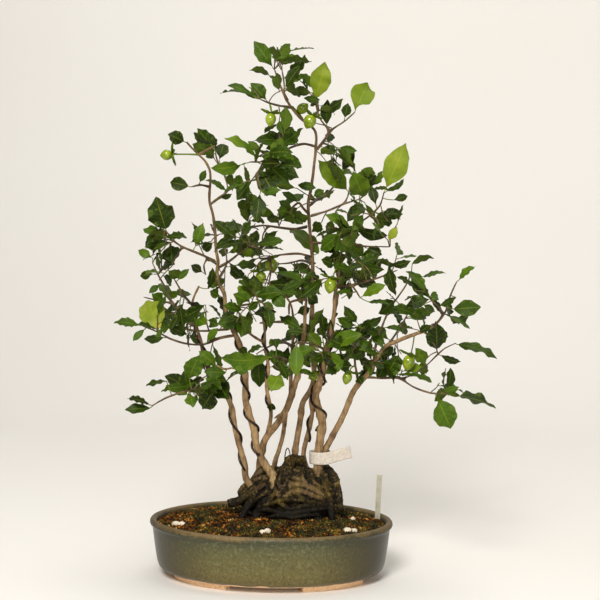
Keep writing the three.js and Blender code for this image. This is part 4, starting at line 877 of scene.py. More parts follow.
def shoot_shape(tree):
    """A moss shoot: a thin pointed cone that stands on its foot, one unit high."""
    cone = add(tree, "GeometryNodeMeshCone",
               {"Vertices": 4, "Radius Top": 0.0, "Radius Bottom": 0.3, "Depth": 1.0})
    return cone.outputs[0]


def strewn_over(name, surface, tree, values):
    """Makes a piece of what a tree strews over a surface, with a value for each named input."""
    carrier = placed_in_scene(name, surface)
    modifier = carrier.modifiers.new("strewn", "NODES")
    modifier.node_group = tree
    for item in tree.interface.items_tree:
        if item.in_out == "INPUT" and item.name in values:
            modifier[item.identifier] = values[item.name]
    finished(name, made_real(name, carrier), "soil")


def make_ground_cover(grains, moss):
    """Clay grains and moss shoots over the soil's upper face."""
    points, faces = rings_to_mesh(soil_rings())
    top = [face for face in faces if len(face) == 4]
    surface = mesh_of("soil_face", points[:-2], top)
    strewn_over("clay_grains", surface, scatter_tree("strewn_grains", grain_shape, False),
                {"Per square metre": GRAINS_PER_SQUARE_METRE, "Size": GRAIN_SIZE, "Seed": 11,
                 "Finish": grains})
    strewn_over("moss_shoots", surface, scatter_tree("strewn_moss", shoot_shape, True),
                {"Per square metre": SHOOTS_PER_SQUARE_METRE, "Size": SHOOT_HEIGHT, "Seed": 12,
                 "Finish": moss})


PEBBLE_NODES = ("pebbles_left", "pebbles_front", "pebbles_right", "pebble_yellow")
PEBBLE_SWELL = 0.45
PEBBLE_UNEVENNESS = 0.3
PEBBLE_GRAIN = 2.5 * MM
ROUNDED = ("SUBSURF", {"levels": 2, "render_levels": 2})


def make_pebbles(stone):
    """The pebbles, rounded and a little uneven."""
    for node in PEBBLE_NODES:
        name = "tumbled_" + node
        smooth = applied(name, taken_out(merged_copy(node), node), ROUNDED)
        swollen(smooth, lambda p: (PEBBLE_SWELL + PEBBLE_UNEVENNESS * noise.noise(p / PEBBLE_GRAIN)) * MM)
        refinished(smooth, stone)
        finished(name, smooth, "pebble", node)


# Tag and pin

TAG = {"band": (320, 457), "depth": 1, "half_along": 13 * MM, "half_across": 12.5 * MM, "height": 15 * MM,
       "thickness": 0.45 * MM, "end": (351, 452), "nearer": 8, "from": -60, "sweep": 335, "curl": 0.5 * MM}
TAG_STEPS = 16
TAG_ROWS = 8


def tag_path():
    """The middle line of the tag: round the two trunks, then away to its free end on the right."""
    middle = seen(*TAG["band"], TAG["depth"])
    flag_end = seen(*TAG["end"], TAG["depth"] - TAG["nearer"])
    route = []
    for k in range(TAG_STEPS + 1):
        angle = math.radians(TAG["from"] + TAG["sweep"] * k / TAG_STEPS)
        route.append(middle + Vector((TAG["half_along"] * math.cos(angle),
                                      TAG["half_across"] * math.sin(angle), 0)))
    leaving = route[-1] + Vector((9, -1.2, 1)) * MM
    route += [leaving, leaving.lerp(flag_end, 0.5) + Vector((0, -1, 0.5)) * MM, flag_end]
    return smooth_path(route, 1.5 * MM)


def make_tag(paper):
    """The blank paper tag: a band round the foot of two trunks, its end standing out to the right."""
    path = tag_path()
    points, faces = [], []
    for k, place in enumerate(path):
        tangent = tangent_at(path, k)
        outward = tangent.cross(UP).normalized()
        rise = outward.cross(tangent).normalized()
        if rise.z < 0:
            rise.negate()
        for row in range(TAG_ROWS + 1):
            height = (row / TAG_ROWS - 0.5) * TAG["height"]
            curl = TAG["curl"] * noise.noise(Vector((k * 0.09, row * 0.25, 4)))
            points.append(place + rise * height + outward * curl)
    for k in range(len(path) - 1):
        for row in range(TAG_ROWS):
            a = k * (TAG_ROWS + 1) + row
            faces.append((a, a + TAG_ROWS + 1, a + TAG_ROWS + 2, a + 1))
    sheet = mesh_of("paper_tag_sheet", points, faces, paper)
    tag = applied("creased_tag", sheet, ("SOLIDIFY", {"thickness": TAG["thickness"], "offset": 0}))
    finished("creased_tag", facing_out(tag), "tag_paper", "paper_tag")


PIN_ROUTE = [(284.6, 466), (285, 456), (286.2, 450), (287.6, 448), (289, 450), (290, 454), (290.6, 466)]
PIN_DEPTH = 2
PIN_RADIUS = 0.7 * MM
PIN_SIDES = 8


def make_pin(wire):
    """The bent wire pin, both legs in the moss."""
    path = smooth_path([seen(x, y, PIN_DEPTH) for x, y in PIN_ROUTE], 1.2 * MM)
    skins = Skins()
    skins.tube(path, [PIN_RADIUS, PIN_RADIUS], PIN_SIDES)
    finished("bent_pin", skins.mesh("bent_pin", wire), "wire_aluminium", "wire_pin")


# The wood's limbs: radii in millimetres and depths, spread evenly along a route of view points.
TRUNKS = {
    "outer_left": {
        "radii": [3.8, 3.3, 2.8, 1.4],
        "depths": [0, -12, -30],
        "route": [(258, 494), (246, 478), (244.5, 463), (239.5, 446), (235, 428), (232.5, 411), (229, 400),
            (221, 388), (212, 375), (205, 360), (202, 346), (196, 326), (192, 314), (193, 300), (199, 286)],
    },
    "tall_left": {
        "radii": [4.8, 4, 3, 2.4, 1.6],
        "depths": [-6, -16, -15, -12, -15],
        "route": [(278, 492), (276, 481), (266.7, 467), (260, 455), (256, 443), (254, 430), (249, 413),
            (245.3, 399), (245.7, 385), (245, 372), (239, 342), (231.5, 327), (226, 312), (224, 293),
            (218, 282), (217, 272), (218, 262), (216, 249), (215, 230), (213, 215), (209.5, 201),
            (210.5, 177), (209.5, 169.5), (205, 161), (199, 155), (191, 147), (186.5, 142)],
    },
    "fork_right": {
        "radii": [4.4, 4.2, 3.4, 1.5],
        "depths": [12, 8, -4],
        "route": [(261, 488), (260, 465), (263.7, 443), (268, 435), (277, 424), (285, 412), (290.5, 399),
            (295, 384), (298, 375), (300, 355), (304, 335), (305, 314), (306, 295), (302, 286)],
    },
    "fork_left": {
        "radii": [2.6, 2.3, 2, 1.1],
        "depths": [11, 16, 24],
        "route": [(263.7, 445), (267.5, 433), (270.5, 420), (271, 413), (269, 400), (266.7, 389),
            (266.7, 380), (268.6, 369), (265, 347), (264.5, 328), (262, 315), (258, 300)],
    },
    "slender": {
        "radii": [2.8, 2.6, 2.3, 1.2],
        "depths": [26, 34, 50],
        "route": [(274, 480), (275, 462), (279, 450), (283, 435), (285, 420), (287.4, 404), (290.5, 393),
            (290.8, 375), (293, 337), (293, 318), (291, 305), (285, 295)],
    },
    "tallest": {
        "radii": [4, 3.4, 3.2, 2.6, 1.9],
        "depths": [20, 36, 30, 20, 10],
        "route": [(295, 474), (295, 453.5), (297, 439), (300.4, 420), (302.7, 403), (310, 391),
            (313.4, 382), (314, 370), (312, 350), (310.5, 333), (312, 313), (312.5, 294), (312.8, 280),
            (312.3, 256), (310.4, 236), (309, 219), (308.3, 203), (311, 189), (313, 175), (314.2, 164),
            (315.7, 149), (315, 131), (300, 118), (291, 107), (287, 100.6)],
    },
    "leaning_right": {
        "radii": [3, 2.6, 2.2],
        "depths": [14, 30, 62],
        "route": [(305, 484), (305.4, 466), (303.5, 454), (306.5, 439), (310.4, 424), (312.3, 412),
            (311, 402), (313, 396), (317, 385), (321, 375), (325, 350), (331, 330), (338, 294)],
    },
    "thick_right": {
        "radii": [5.6, 5, 3.6, 2.6, 1.2],
        "depths": [-2, -8, -24, -40],
        "route": [(317, 482), (318, 462), (318.8, 450), (320, 439), (322.4, 424), (320, 413), (316.5, 403),
            (315.7, 395), (318, 387), (321, 379), (323, 370), (327, 350), (331, 333), (334.5, 309),
            (334.5, 299), (338, 280), (340, 262), (342, 240)],
    },
    "far_right": {
        "radii": [4, 3.4, 2.4],
        "depths": [6, -14, -44],
        "route": [(322, 480), (322, 460), (324, 453), (332, 437), (340, 422), (347, 407), (353, 392),
            (360.5, 382), (370, 371.5), (375, 360), (379, 355), (386, 346), (393, 343), (407, 337),
            (424.6, 331)],
    },
}

ROOTS = [
    {"radii": (8, 5), "depths": (0, -8), "route": [(264, 484), (250, 492), (240, 500), (228, 504)]},
    {"radii": (7, 4), "depths": (-4, -20), "route": [(268, 480), (258, 492), (248, 506), (240, 520)]},
    {"radii": (8, 4.5), "depths": (-6, -23), "route": [(275, 478), (268, 494), (261, 508), (254, 521)]},
    {"radii": (9, 6), "depths": (-4, -27), "route": [(287, 466), (286, 482), (283, 500), (279, 524)]},
    {"radii": (8, 5), "depths": (-4, -27), "route": [(299, 468), (301, 482), (301, 500), (304, 524)]},
    {"radii": (8, 5), "depths": (-2, -25), "route": [(308, 470), (311, 484), (313, 500), (318, 523)]},
    {"radii": (7.5, 4.5), "depths": (0, -20), "route": [(318, 468), (325, 480), (329, 496), (332, 520)]},
    {"radii": (6.5, 4), "depths": (4, -16), "route": [(324, 468), (334, 477), (338, 492), (341, 511)]},
    {"radii": (7, 4), "depths": (16, 46), "route": [(312, 476), (322, 482), (328, 490), (333, 500)]},
    {"radii": (8, 5), "depths": (16, 58), "route": [(300, 474), (305, 480), (308, 488), (310, 496)]},
    {"radii": (8, 5), "depths": (16, 60), "route": [(288, 474), (284, 480), (280, 488), (278, 496)]},
    {"radii": (8, 5.5), "depths": (2, 20), "route": [(287, 468), (292, 461), (300, 461), (306, 470)]},
]

SPURS = [
    {"on": "tall_left", "end": -2, "route": [(200, 155), (207, 150), (215, 146)]},
    {"on": "tallest", "end": -12, "route": [(308.5, 214), (303, 208), (299, 203), (293, 207), (290, 213)]},
    {"on": "fork_left", "end": -25, "route": [(264, 344), (256, 338), (247, 331), (243, 323), (246, 317)]},
    {"on": "slender", "end": 70, "route": [(293, 321), (273.6, 322), (260, 323)]},
    {"on": "fork_right", "end": -30, "route": [(305, 300), (298, 300), (290, 303), (289, 314)]},
    {"on": "outer_left", "end": -45, "route": [(209, 370), (216, 366), (224, 369), (232, 368)]},
    {"on": "fork_right", "end": -18, "route": [(283, 414), (279, 415), (275, 418)]},
]


# Wood

WOOD_STEP = 3 * MM
OLD_WOOD_HEIGHT = 98 * MM
YOUNG_WOOD_HEIGHT = 132 * MM
CROWN_WOOD_HEIGHT = 250 * MM
CROWN_WOOD_RISE = 150 * MM
CROWN_AGE = 0.52
LEAST_AGE = 0.05
CROWN_SHRINK = 0.28
KNOT_SPACING = 6 * MM
TRUNK_SIDES = 14
SPUR_SIDES = 9
SPUR_RADII = (1.8, 1.1)
KNOT_GAP, KNOT_SWELL = (3, 8), (1.1, 1.28)


def in_space(route, depths):
    """The places of a view route whose depths are spread evenly along it."""
    reach = [0.0, *accumulate(math.dist(one, other) for one, other in zip(route, route[1:]))]
    return [seen(x, y, along(depths, r / reach[-1])) for (x, y), r in zip(route, reach)]


trunk_paths = {name: smooth_path(in_space(limb["route"], limb["depths"]), WOOD_STEP)
               for name, limb in TRUNKS.items()}


def wood_age(place):
    """From 0 on pale trunks to 1 on dark wood by the ground; the wood in the crown is darker again."""
    by_ground = (YOUNG_WOOD_HEIGHT - place.z) / (YOUNG_WOOD_HEIGHT - OLD_WOOD_HEIGHT)
    in_crown = CROWN_AGE * (place.z - CROWN_WOOD_HEIGHT) / CROWN_WOOD_RISE
    return min(1, max(LEAST_AGE, by_ground, min(CROWN_AGE, in_crown)))


def knotty(radii, path, seed):
    """Radii in metres along a path, with a small swelling at each old leaf scar."""
    draw = random.Random(seed)
    count = max(8, round(reaches_of(path)[-1] / KNOT_SPACING))
    fine = []
    next_knot = draw.randint(3, 6)
    for k in range(count + 1):
        radius = along(radii, k / count) * MM
        if k == next_knot:
            radius *= draw.uniform(*KNOT_SWELL)
            next_knot += draw.randint(*KNOT_GAP)
        fine.append(radius)
    return fine


def thinned(radii, path):
    """The radii of a trunk, made thinner by the share of the crown that each has risen into."""
    heights = [along([p.z for p in path], k / (len(radii) - 1)) for k in range(len(radii))]
    return [radius * (1 - CROWN_SHRINK * min(1, max(0, (z - CROWN_WOOD_HEIGHT) / CROWN_WOOD_RISE)))
            for radius, z in zip(radii, heights)]


def spur_path(spur):
    """The path of a spur, from the nearest place on its trunk."""
    foot = min(trunk_paths[spur["on"]], key=lambda p: math.dist(viewed(p), spur["route"][0]))
    depth = (foot - POT_MIDDLE).dot(AHEAD) / MM
    return smooth_path([foot, *in_space(spur["route"], [depth, spur["end"]])[1:]], 2.5 * MM)


def make_trunks(bark):
    """The trunks and their spurs, with scars and fine unevenness; the wood is thinner in the crown."""
    skins = Skins()
    for seed, (name, limb) in enumerate(TRUNKS.items()):
        path = trunk_paths[name]
        radii = thinned(knotty(limb["radii"], path, seed), path)
        skins.tube(path, radii, TRUNK_SIDES, wood_age, rough=0.1, grain=7 * MM)
    for seed, spur in enumerate(SPURS, 40):
        path = spur_path(spur)
        skins.tube(path, knotty(SPUR_RADII, path, seed), SPUR_SIDES, wood_age, rough=0.08)
    finished("trunk_wood", skins.mesh("trunk_wood", bark), "bark", "trunk_clump")


# Root mass

ROOT_HEART = {"view": (288, 497, 13), "along": 56 * MM, "across": 37 * MM, "height": 36 * MM}
HEART_STEPS, HEART_TURNS = 26, 48
WALL_HEIGHT = 10.0
ROOT_BOTTOM = 60 * MM
ROOT_VOXEL = 1.25 * MM
ROOT_GRAIN = 5 * MM
ROOT_UNEVENNESS = 0.2
LYING_SIDES, STRAND_SIDES, FOOT_SIDES, CREEPING_SIDES = 10, 14, 12, 8
CREEPING_ROOTS = 54
CREEPING_START, CREEPING_END = (0.2, 1.0), 1.75
CREEPING_STEP = (0.14, 0.26)
CREEPING_DRIFT, CREEPING_SWERVE = 0.35, 0.22
CREEPING_LIFT, BACK_LIFT = (0.99, 1.05), 0.07
CREEPING_RADIUS, BACK_THICKER = (1.3, 3.0), 1.5
BACK_START = 20 * MM
BACK_PALENESS = 0.7
BASE_REACH = 152 * MM
FLARE = 1.2
TRUNK_FOOT_HEIGHT = 100 * MM
TRUNK_FOOT_PALENESS = 1.7
PALE_FADE = 1.5 * MM
LOW_ROOTS_HEIGHT = 103 * MM
LOW_ROOTS_DROP = 16 * MM
HOLLOW_DEPTH = 0.5 * MM
HOLLOW_ROUNDS = 10

heart_middle = seen(*ROOT_HEART["view"])


def heart_place(theta, phi, outward=1.0):
    """A place on the dome of the root mass's heart, by its turn and its angle down from the top."""
    right = math.sin(phi) * math.cos(theta)
    back = math.sin(phi) * math.sin(theta)
    rise = math.cos(phi)
    swell = 1 + 0.07 * math.sin(5 * right + 4 * rise) + 0.06 * math.sin(7 * back - 3 * right + 1)
    return heart_middle + Vector((right * ROOT_HEART["along"], back * ROOT_HEART["across"],
                                  rise * ROOT_HEART["height"])) * swell * outward


def resting(x, y, lift):
    """The place over the heart's front that a view point shows: on its dome, or on its wall below."""
    origin = EYE * MM + POT_MIDDLE
    ray = (seen(x, y, 0) - origin).normalized()
    height = ROOT_HEART["height"] if y < ROOT_HEART["view"][1] else WALL_HEIGHT
    shrink = Vector((1 / ROOT_HEART["along"], 1 / ROOT_HEART["across"], 1 / height)) / lift
    start, step = (origin - heart_middle) * shrink, ray * shrink
    across = start.dot(step)
    reach = max(0.0, across ** 2 - step.length_squared * (start.length_squared - 1))
    return origin + ray * ((-across - math.sqrt(reach)) / step.length_squared)


# Thick roots that lie over the heart: radius in millimetres, how worn to pale wood from 0 to 1, how far
# out from the heart, and the route in view points.
LYING_ROOTS = [
    (4.8, 2.4, 1.04, [(270, 470), (273, 477), (275, 485), (277, 493)]),
    (5.2, 1.0, 1.0, [(278, 472), (286, 474), (294, 478), (302, 482), (308, 486), (316, 490), (326, 494)]),
    (4.8, 1.0, 1.02, [(281, 492), (287, 487), (294, 485), (303, 486), (311, 489), (318, 493), (327, 498)]),
    (4.0, 0.9, 1.02, [(284, 497), (292, 492), (301, 491), (310, 494), (319, 498), (326, 502)]),
    (4.4, 0.9, 0.99, [(288, 467), (297, 470), (304, 474), (310, 480), (313, 486)]),
    (3.2, 0.7, 1.0, [(300, 466), (308, 470), (314, 477)]),
    (2.6, 0.7, 1.03, [(317, 471), (325, 474), (333, 479), (338, 486), (340, 494), (340, 502)]),
    (2.3, 0.3, 1.05, [(318, 475), (326, 479), (332, 484), (336, 491), (337, 500)]),
    (2.6, 0.6, 1.04, [(317, 479), (323, 483), (329, 488), (333, 495), (334, 504)]),
    (2.2, 0.2, 1.05, [(319, 485), (325, 490), (329, 497), (330, 506)]),
    (3.2, 0.0, 1.16, [(276, 500), (283, 505), (291, 509), (300, 507), (311, 505), (323, 505), (335, 502)]),
    (2.6, 0.1, 1.2, [(262, 506), (272, 503), (283, 500), (296, 500), (308, 501), (322, 503)]),
    (2.8, 0.0, 1.2, [(250, 514), (262, 510), (275, 511), (288, 514), (301, 512), (316, 510), (330, 508)]),
    (2.2, 0.1, 1.24, [(268, 517), (280, 516), (293, 518), (306, 516), (320, 515)]),
    (3.0, 0.2, 1.1, [(266, 484), (258, 488), (251, 494), (244, 500), (236, 504), (228, 506)]),
    (2.6, 0.1, 1.12, [(268, 490), (260, 497), (251, 503), (243, 509), (236, 515)]),
    (2.6, 0.3, 1.1, [(256, 486), (248, 493), (240, 500), (231, 500)]),
    (3.4, 0.1, 1.1, [(272, 494), (270, 501), (266, 509), (261, 517)]),
    (2.4, 0.3, 1.1, [(283, 470), (280, 478), (276, 487), (273, 497)]),
    (2.4, 0.2, 1.02, [(286, 459), (292, 456), (299, 459), (303, 466)]),
    (2.2, 0.1, 1.03, [(284, 464), (291, 463), (298, 465), (304, 471)]),
    (2.4, 0.1, 1.02, [(287, 458), (286, 465), (289, 472), (295, 476)]),
]


def creeping_root(draw):
    """A thin root that wanders down over the heart into the soil, prouder of it at the back."""
    theta = draw.uniform(0, FULL_TURN)
    phi = draw.uniform(*CREEPING_START)
    drift = draw.uniform(-CREEPING_DRIFT, CREEPING_DRIFT)
    places = []
    while phi < CREEPING_END:
        lift = draw.uniform(*CREEPING_LIFT) + BACK_LIFT * max(0, math.sin(theta))
        places.append(heart_place(theta, phi, lift))
        theta += drift + draw.uniform(-CREEPING_SWERVE, CREEPING_SWERVE)
        phi += draw.uniform(*CREEPING_STEP)
    return places


class WornRoots:
    """The places of worn roots, each with its radius and paleness, to ask how bare the skin near them is."""

    def __init__(self):
        self.places = []

    def add(self, path, radii, paleness):
        """Adds the places of a root, with a radius for each."""
        self.places += [(place, radius, paleness) for place, radius in zip(path, radii)]

    def settle(self):
        """Makes the places ready to be searched."""
        self.tree = kdtree.KDTree(len(self.places))
        for k, (place, _, _) in enumerate(self.places):
            self.tree.insert(place, k)
        self.tree.balance()

    def bareness(self, place):
        """How pale the skin is at a place: the nearest root's paleness, which fades beyond its radius."""
        _, k, distance = self.tree.find(place)
        _, radius, paleness = self.places[k]
        return paleness * min(1, max(0, 1 - (distance - radius) / PALE_FADE))


def add_lying_roots(skins, worn):
    """The thick roots over the heart's front."""
    for radius, paleness, lift, route in LYING_ROOTS:
        path = smooth_path([resting(x, y, lift) for x, y in route], 2 * MM)
        skins.tube(path, [radius * MM, radius * MM, radius * 0.7 * MM], LYING_SIDES,
                   rough=ROOT_UNEVENNESS, grain=ROOT_GRAIN)
        worn.add(path, [radius * MM] * len(path), paleness)


def add_strands(skins):
    """The fluted strands that run down from the heart into the soil."""
    for root in ROOTS:
        path = smooth_path(in_space(root["route"], root["depths"]), WOOD_STEP)
        skins.tube(path, [r * MM for r in root["radii"]], STRAND_SIDES,
                   rough=ROOT_UNEVENNESS, grain=ROOT_GRAIN, flutes=4)


def add_trunk_feet(skins, worn):
    """The flared feet of the trunks, so that they grow out of the mass."""
    for name, limb in TRUNKS.items():
        path = [p for p in trunk_paths[name] if p.z < BASE_REACH]
        if len(path) < 3:
            continue
        flare = [(along(limb["radii"], k / len(trunk_paths[name])) + FLARE * (1 - k / len(path))) * MM
                 for k in range(len(path))]
        skins.tube(path, flare, FOOT_SIDES, rough=0.12)
        above = [(place, radius) for place, radius in zip(path, flare) if place.z > TRUNK_FOOT_HEIGHT]
        if above:
            worn.add(*zip(*above), TRUNK_FOOT_PALENESS)


def add_creeping_roots(skins, worn):
    """The thin roots, thicker and paler at the back."""
    draw = random.Random(21)
    for _ in range(CREEPING_ROOTS):
        places = creeping_root(draw)
        if len(places) > 3:
            is_behind = places[-1].y > POT_MIDDLE.y + BACK_START
            thick = draw.uniform(*CREEPING_RADIUS) * (BACK_THICKER if is_behind else 1) * MM
            path = smooth_path(places, 2.5 * MM)
            skins.tube(path, [thick, thick * 0.7], CREEPING_SIDES, rough=ROOT_UNEVENNESS)
            if is_behind:
                worn.add(path, [thick] * len(path), BACK_PALENESS)


RIDGE_SIZE, RIDGE_HEIGHT, RIDGE_LENGTHENED = 3.6 * MM, 1.5, 0.45
CRACK_SIZE, CRACK_DEPTH = 1.6 * MM, 0.5


def gnarl(place):
    """How far the root mass's skin stands out at a place: upright ridges with fine cracks."""
    ridged = 1 - abs(noise.noise(Vector((place.x, place.y, place.z * RIDGE_LENGTHENED)) / RIDGE_SIZE))
    return (RIDGE_HEIGHT * (ridged - 0.8) + CRACK_DEPTH * noise.noise(place / CRACK_SIZE)) * MM


def hollows(mesh):
    """How far each vertex lies below the skin evened out around it, in metres."""
    count = len(mesh.vertices)
    places = np.empty(count * 3)
    normals = np.empty(count * 3)
    ends = np.empty(len(mesh.edges) * 2, dtype=int)
    mesh.vertices.foreach_get("co", places)
    mesh.vertices.foreach_get("normal", normals)
    mesh.edges.foreach_get("vertices", ends)
    places, normals, ends = places.reshape(-1, 3), normals.reshape(-1, 3), ends.reshape(-1, 2)
    beside = np.bincount(ends.ravel(), minlength=count)[:, None]
    evened = places.copy()
    for _ in range(HOLLOW_ROUNDS):
        total = np.zeros_like(evened)
        np.add.at(total, ends[:, 0], evened[ends[:, 1]])
        np.add.at(total, ends[:, 1], evened[ends[:, 0]])
        evened = total / np.maximum(beside, 1)
    return ((evened - places) * normals).sum(axis=1)


def root_ages_and_shading(mass, worn):
    """The root mass's bark values: pale on worn roots and trunk feet, dark near the ground, with painted
    shade in hollows and painted highlights on ridges.
    """
    ages = []
    for vertex, hollow in zip(mass.vertices, hollows(mass)):
        bare = worn.bareness(vertex.co)
        low = min(1, max(0, (LOW_ROOTS_HEIGHT - vertex.co.z) / LOW_ROOTS_DROP))
        # Painted shade and highlight: bark in a hollow is darkened as if shaded, and on a ridge paled as if
        # lit.
        hollow_shade_and_ridge_light = min(1, max(-0.35, hollow / HOLLOW_DEPTH))
        ages.append(1.2 - 0.5 * bare + (low + 0.8 * hollow_shade_and_ridge_light) * (1 - 0.5 * min(1, bare)))
    return ages


def cut_level(mesh, height):
    """Takes off what lies below a height, and closes the mesh there."""
    solid = bmesh.new()
    solid.from_mesh(mesh)
    cut = bmesh.ops.bisect_plane(solid, geom=solid.verts[:] + solid.edges[:] + solid.faces[:],
                                 plane_co=(0, 0, height), plane_no=(0, 0, 1), clear_inner=True)
    rim = [e for e in cut["geom_cut"] if isinstance(e, bmesh.types.BMEdge)]
    bmesh.ops.holes_fill(solid, edges=rim, sides=0)
    bmesh.ops.recalc_face_normals(solid, faces=solid.faces)
    solid.to_mesh(mesh)
    solid.free()


def make_root_mass(bark):
    """Roots grown together: the heart, its strands and thin creeping roots as one gnarled skin."""
    skins, worn = Skins(), WornRoots()
    skins.points, skins.faces = rings_to_mesh([
        [heart_place(FULL_TURN * i / HEART_TURNS, math.pi * k / HEART_STEPS) for i in range(HEART_TURNS)]
        for k in range(1, HEART_STEPS)])
    add_lying_roots(skins, worn)
    add_strands(skins)
    add_trunk_feet(skins, worn)
    add_creeping_roots(skins, worn)
    worn.settle()
    mass = applied("root_mass", facing_out(mesh_of("root_mass", skins.points, skins.faces)),
                   ("REMESH", {"mode": "VOXEL", "voxel_size": ROOT_VOXEL, "use_smooth_shade": True}),
                   ("SMOOTH", {"factor": 0.5, "iterations": 2}))
    swollen(mass, lambda place: gnarl(place) * (1 - 0.75 * min(1, worn.bareness(place))))
    cut_level(mass, ROOT_BOTTOM)
    refinished(mass, bark)
    set_bark_age_and_shading(mass, root_ages_and_shading(mass, worn))
    finished("root_mass", mass, "bark", "trunk_clump")


# Training wires

WIRES = {"wire_outer_left": ("outer_left", 4), "wire_tall_left": ("tall_left", 4),
         "wire_fork_left": ("fork_left", 3), "wire_leaning_right": ("leaning_right", 4),
         "wire_thick_right": ("thick_right", 3)}
WIRE_RADIUS = 1.5 * MM
WIRE_SIDES = 8
SOLID_WIRE_SIDES = 4
STEPS_PER_TURN = 28
BARK_CLEARANCE = 1.03


def nearest_on(path, place):
    """The number of the path's place nearest to one."""
    return min(range(len(path)), key=lambda k: (path[k] - place).length_squared)


def wire_ends(node, path, frames):
    """Where a wire's solid starts and ends: for each, the number of a place on its trunk and an angle."""
    solid = merged_copy(node)
    places = sorted((v.co.copy() for v in solid.verts), key=lambda p: nearest_on(path, p))
    solid.free()
    ends = []
    for group in (places[:SOLID_WIRE_SIDES], places[-SOLID_WIRE_SIDES:]):
        middle = middle_of(group)
        k = nearest_on(path, middle)
        one, other = frames[k]
        offset = middle - path[k]
        ends.append((k, math.atan2(offset.dot(other), offset.dot(one))))
    return ends


def wound_angle(start, stop, turns):
    """The angle from a start to a stop, either way round, that comes nearest to a number of turns."""
    short = (stop - start) % FULL_TURN
    candidates = [short + FULL_TURN * n for n in range(-turns - 1, turns + 1)]
    return min(candidates, key=lambda angle: abs(abs(angle) - turns * FULL_TURN))


def make_wires(aluminium):
    """Each wire as one even winding: where it starts and ends is read from its solid."""
    for node, (trunk, turns) in WIRES.items():
        path = trunk_paths[trunk]
        frames = frames_along(path)
        (first, start), (last, stop) = wire_ends(node, path, frames)
        wound = wound_angle(start, stop, turns)
        centre = []
        for k in range(turns * STEPS_PER_TURN + 1):
            share = k / (turns * STEPS_PER_TURN)
            place = first + (last - first) * share
            low = min(int(place), len(path) - 2)
            reach = along(TRUNKS[trunk]["radii"], place / (len(path) - 1)) * MM * BARK_CLEARANCE + WIRE_RADIUS
            centre.append(path[low].lerp(path[low + 1], place - low)
                          + around(frames[low], start + wound * share) * reach)
        skins = Skins()
        skins.tube(centre, [WIRE_RADIUS, WIRE_RADIUS], WIRE_SIDES)
        finished("wound_" + node.removeprefix("wire_"), skins.mesh(node, aluminium), "wire_aluminium", node)


# Leaves

# At the stations of a leaf's solid, from its foot on: the share of the length, and of the full width.
LEAF_STATIONS = {3: (0.0, 0.38, 0.74), 4: (0.0, 0.3, 0.62, 0.84)}
LEAF_WIDTHS = {3: (0.0, 0.86, 0.84), 4: (0.0, 0.72, 1.0, 0.66)}
BLADE_COLUMNS = (-1.0, -0.5, 0.0, 0.5, 1.0)
LEAF_LONG = 16
SMALL_LEAF_LONG = 10
SMALL_LEAF = 24 * MM
LEAF_THICKNESS = 0.45 * MM
PETIOLE_RADIUS = 0.55 * MM
PETIOLE_SIDES = 5
LEAF_WAVES, LEAF_RUFFLE = (2.6, 4.6), (0.035, 0.085)
LEAF_LOBING, LEAF_CURL = (0.015, 0.055), (-0.02, 0.07)
EDGES_APART = 1.7
LEAF_ARCH, LEAF_FOLD = (-0.02, 0.07), (0.08, 0.34)

# A solid's station that is narrower than this across is petiole, and a blade is no thicker than this.
NARROW = 2.2 * MM
THIN = 1.8 * MM

# Leaves that stand out by their tone: the view point of the tip, and the tone from 0 deep to 1 yellow.
TONES = [
    (325, 62, 0.8), (368, 83, 0.77), (406, 143, 0.83), (148, 299, 0.88), (318, 160, 0.64),
    (289, 228, 0.62), (362, 334, 0.56), (309, 334, 0.56), (292, 355, 0.54), (296, 376, 0.54),
    (221, 358, 0.52), (234, 294, 0.52), (225, 138, 0.6), (211, 169, 0.54), (199, 355, 0.52),
    (363, 255, 0.54), (325, 215, 0.54), (397, 227, 0.88), (271, 392, 0.7), (177, 297, 0.6),
    (386, 285, 0.66), (193, 407, 0.56), (219, 160, 0.1), (258, 168, 0.1), (262, 190, 0.12),
    (247, 190, 0.12), (311, 201, 0.14), (303, 293, 0.12), (267, 284, 0.14), (325, 354, 0.18),
    (436, 322, 0.18), (396, 296, 0.14), (347, 222, 0.12), (364, 250, 0.12), (208, 317, 0.14),
    (226, 372, 0.14), (228, 398, 0.16), (172, 243, 0.18), (213, 241, 0.14), (236, 240, 0.12),
    (262, 243, 0.12),
]
TONE_REACH = 5
USUAL_TONES = (0.0, 0.66, 0.27)


def opposite_pairs(ring):
    """A ring of four as its two pairs of opposite corners, the wider pair first."""
    beside = {edge.other_vert(ring[0]) for edge in ring[0].link_edges}
    facing = [v for v in ring[1:] if v not in beside]
    others = [v for v in ring[1:] if v in beside]
    if len(facing) != 1:
        return None
    pairs = [(ring[0], facing[0]), (others[0], others[1])]
    return sorted(pairs, key=lambda pair: -gap(pair))


def gap(pair):
    """How far apart two vertices are."""
    return (pair[0].co - pair[1].co).length


def between_pair(pair):
    """The place halfway between two vertices."""
    return (pair[0].co + pair[1].co) / 2


def beyond(ring, used):
    """The vertices next to a ring that aren't used yet, in the solid's order."""
    return sorted({e.other_vert(v) for v in ring for e in v.link_edges} - used, key=lambda v: v.index)


def blade_stations(tip):
    """The four-cornered stations of a blade from its tip back, and the vertices that follow them."""
    ring = sorted((e.other_vert(tip) for e in tip.link_edges), key=lambda v: v.index)
    used = {tip}
    stations = []
    while len(ring) == 4:
        pairs = opposite_pairs(ring)
        if pairs is None or gap(pairs[1]) > THIN:
            break
        is_narrow = gap(pairs[0]) < NARROW
        if is_narrow and not stations:
            break
        stations.append(pairs)
        used.update(ring)
        ring = beyond(ring, used)
        if is_narrow:
            break
    return stations, used, ring


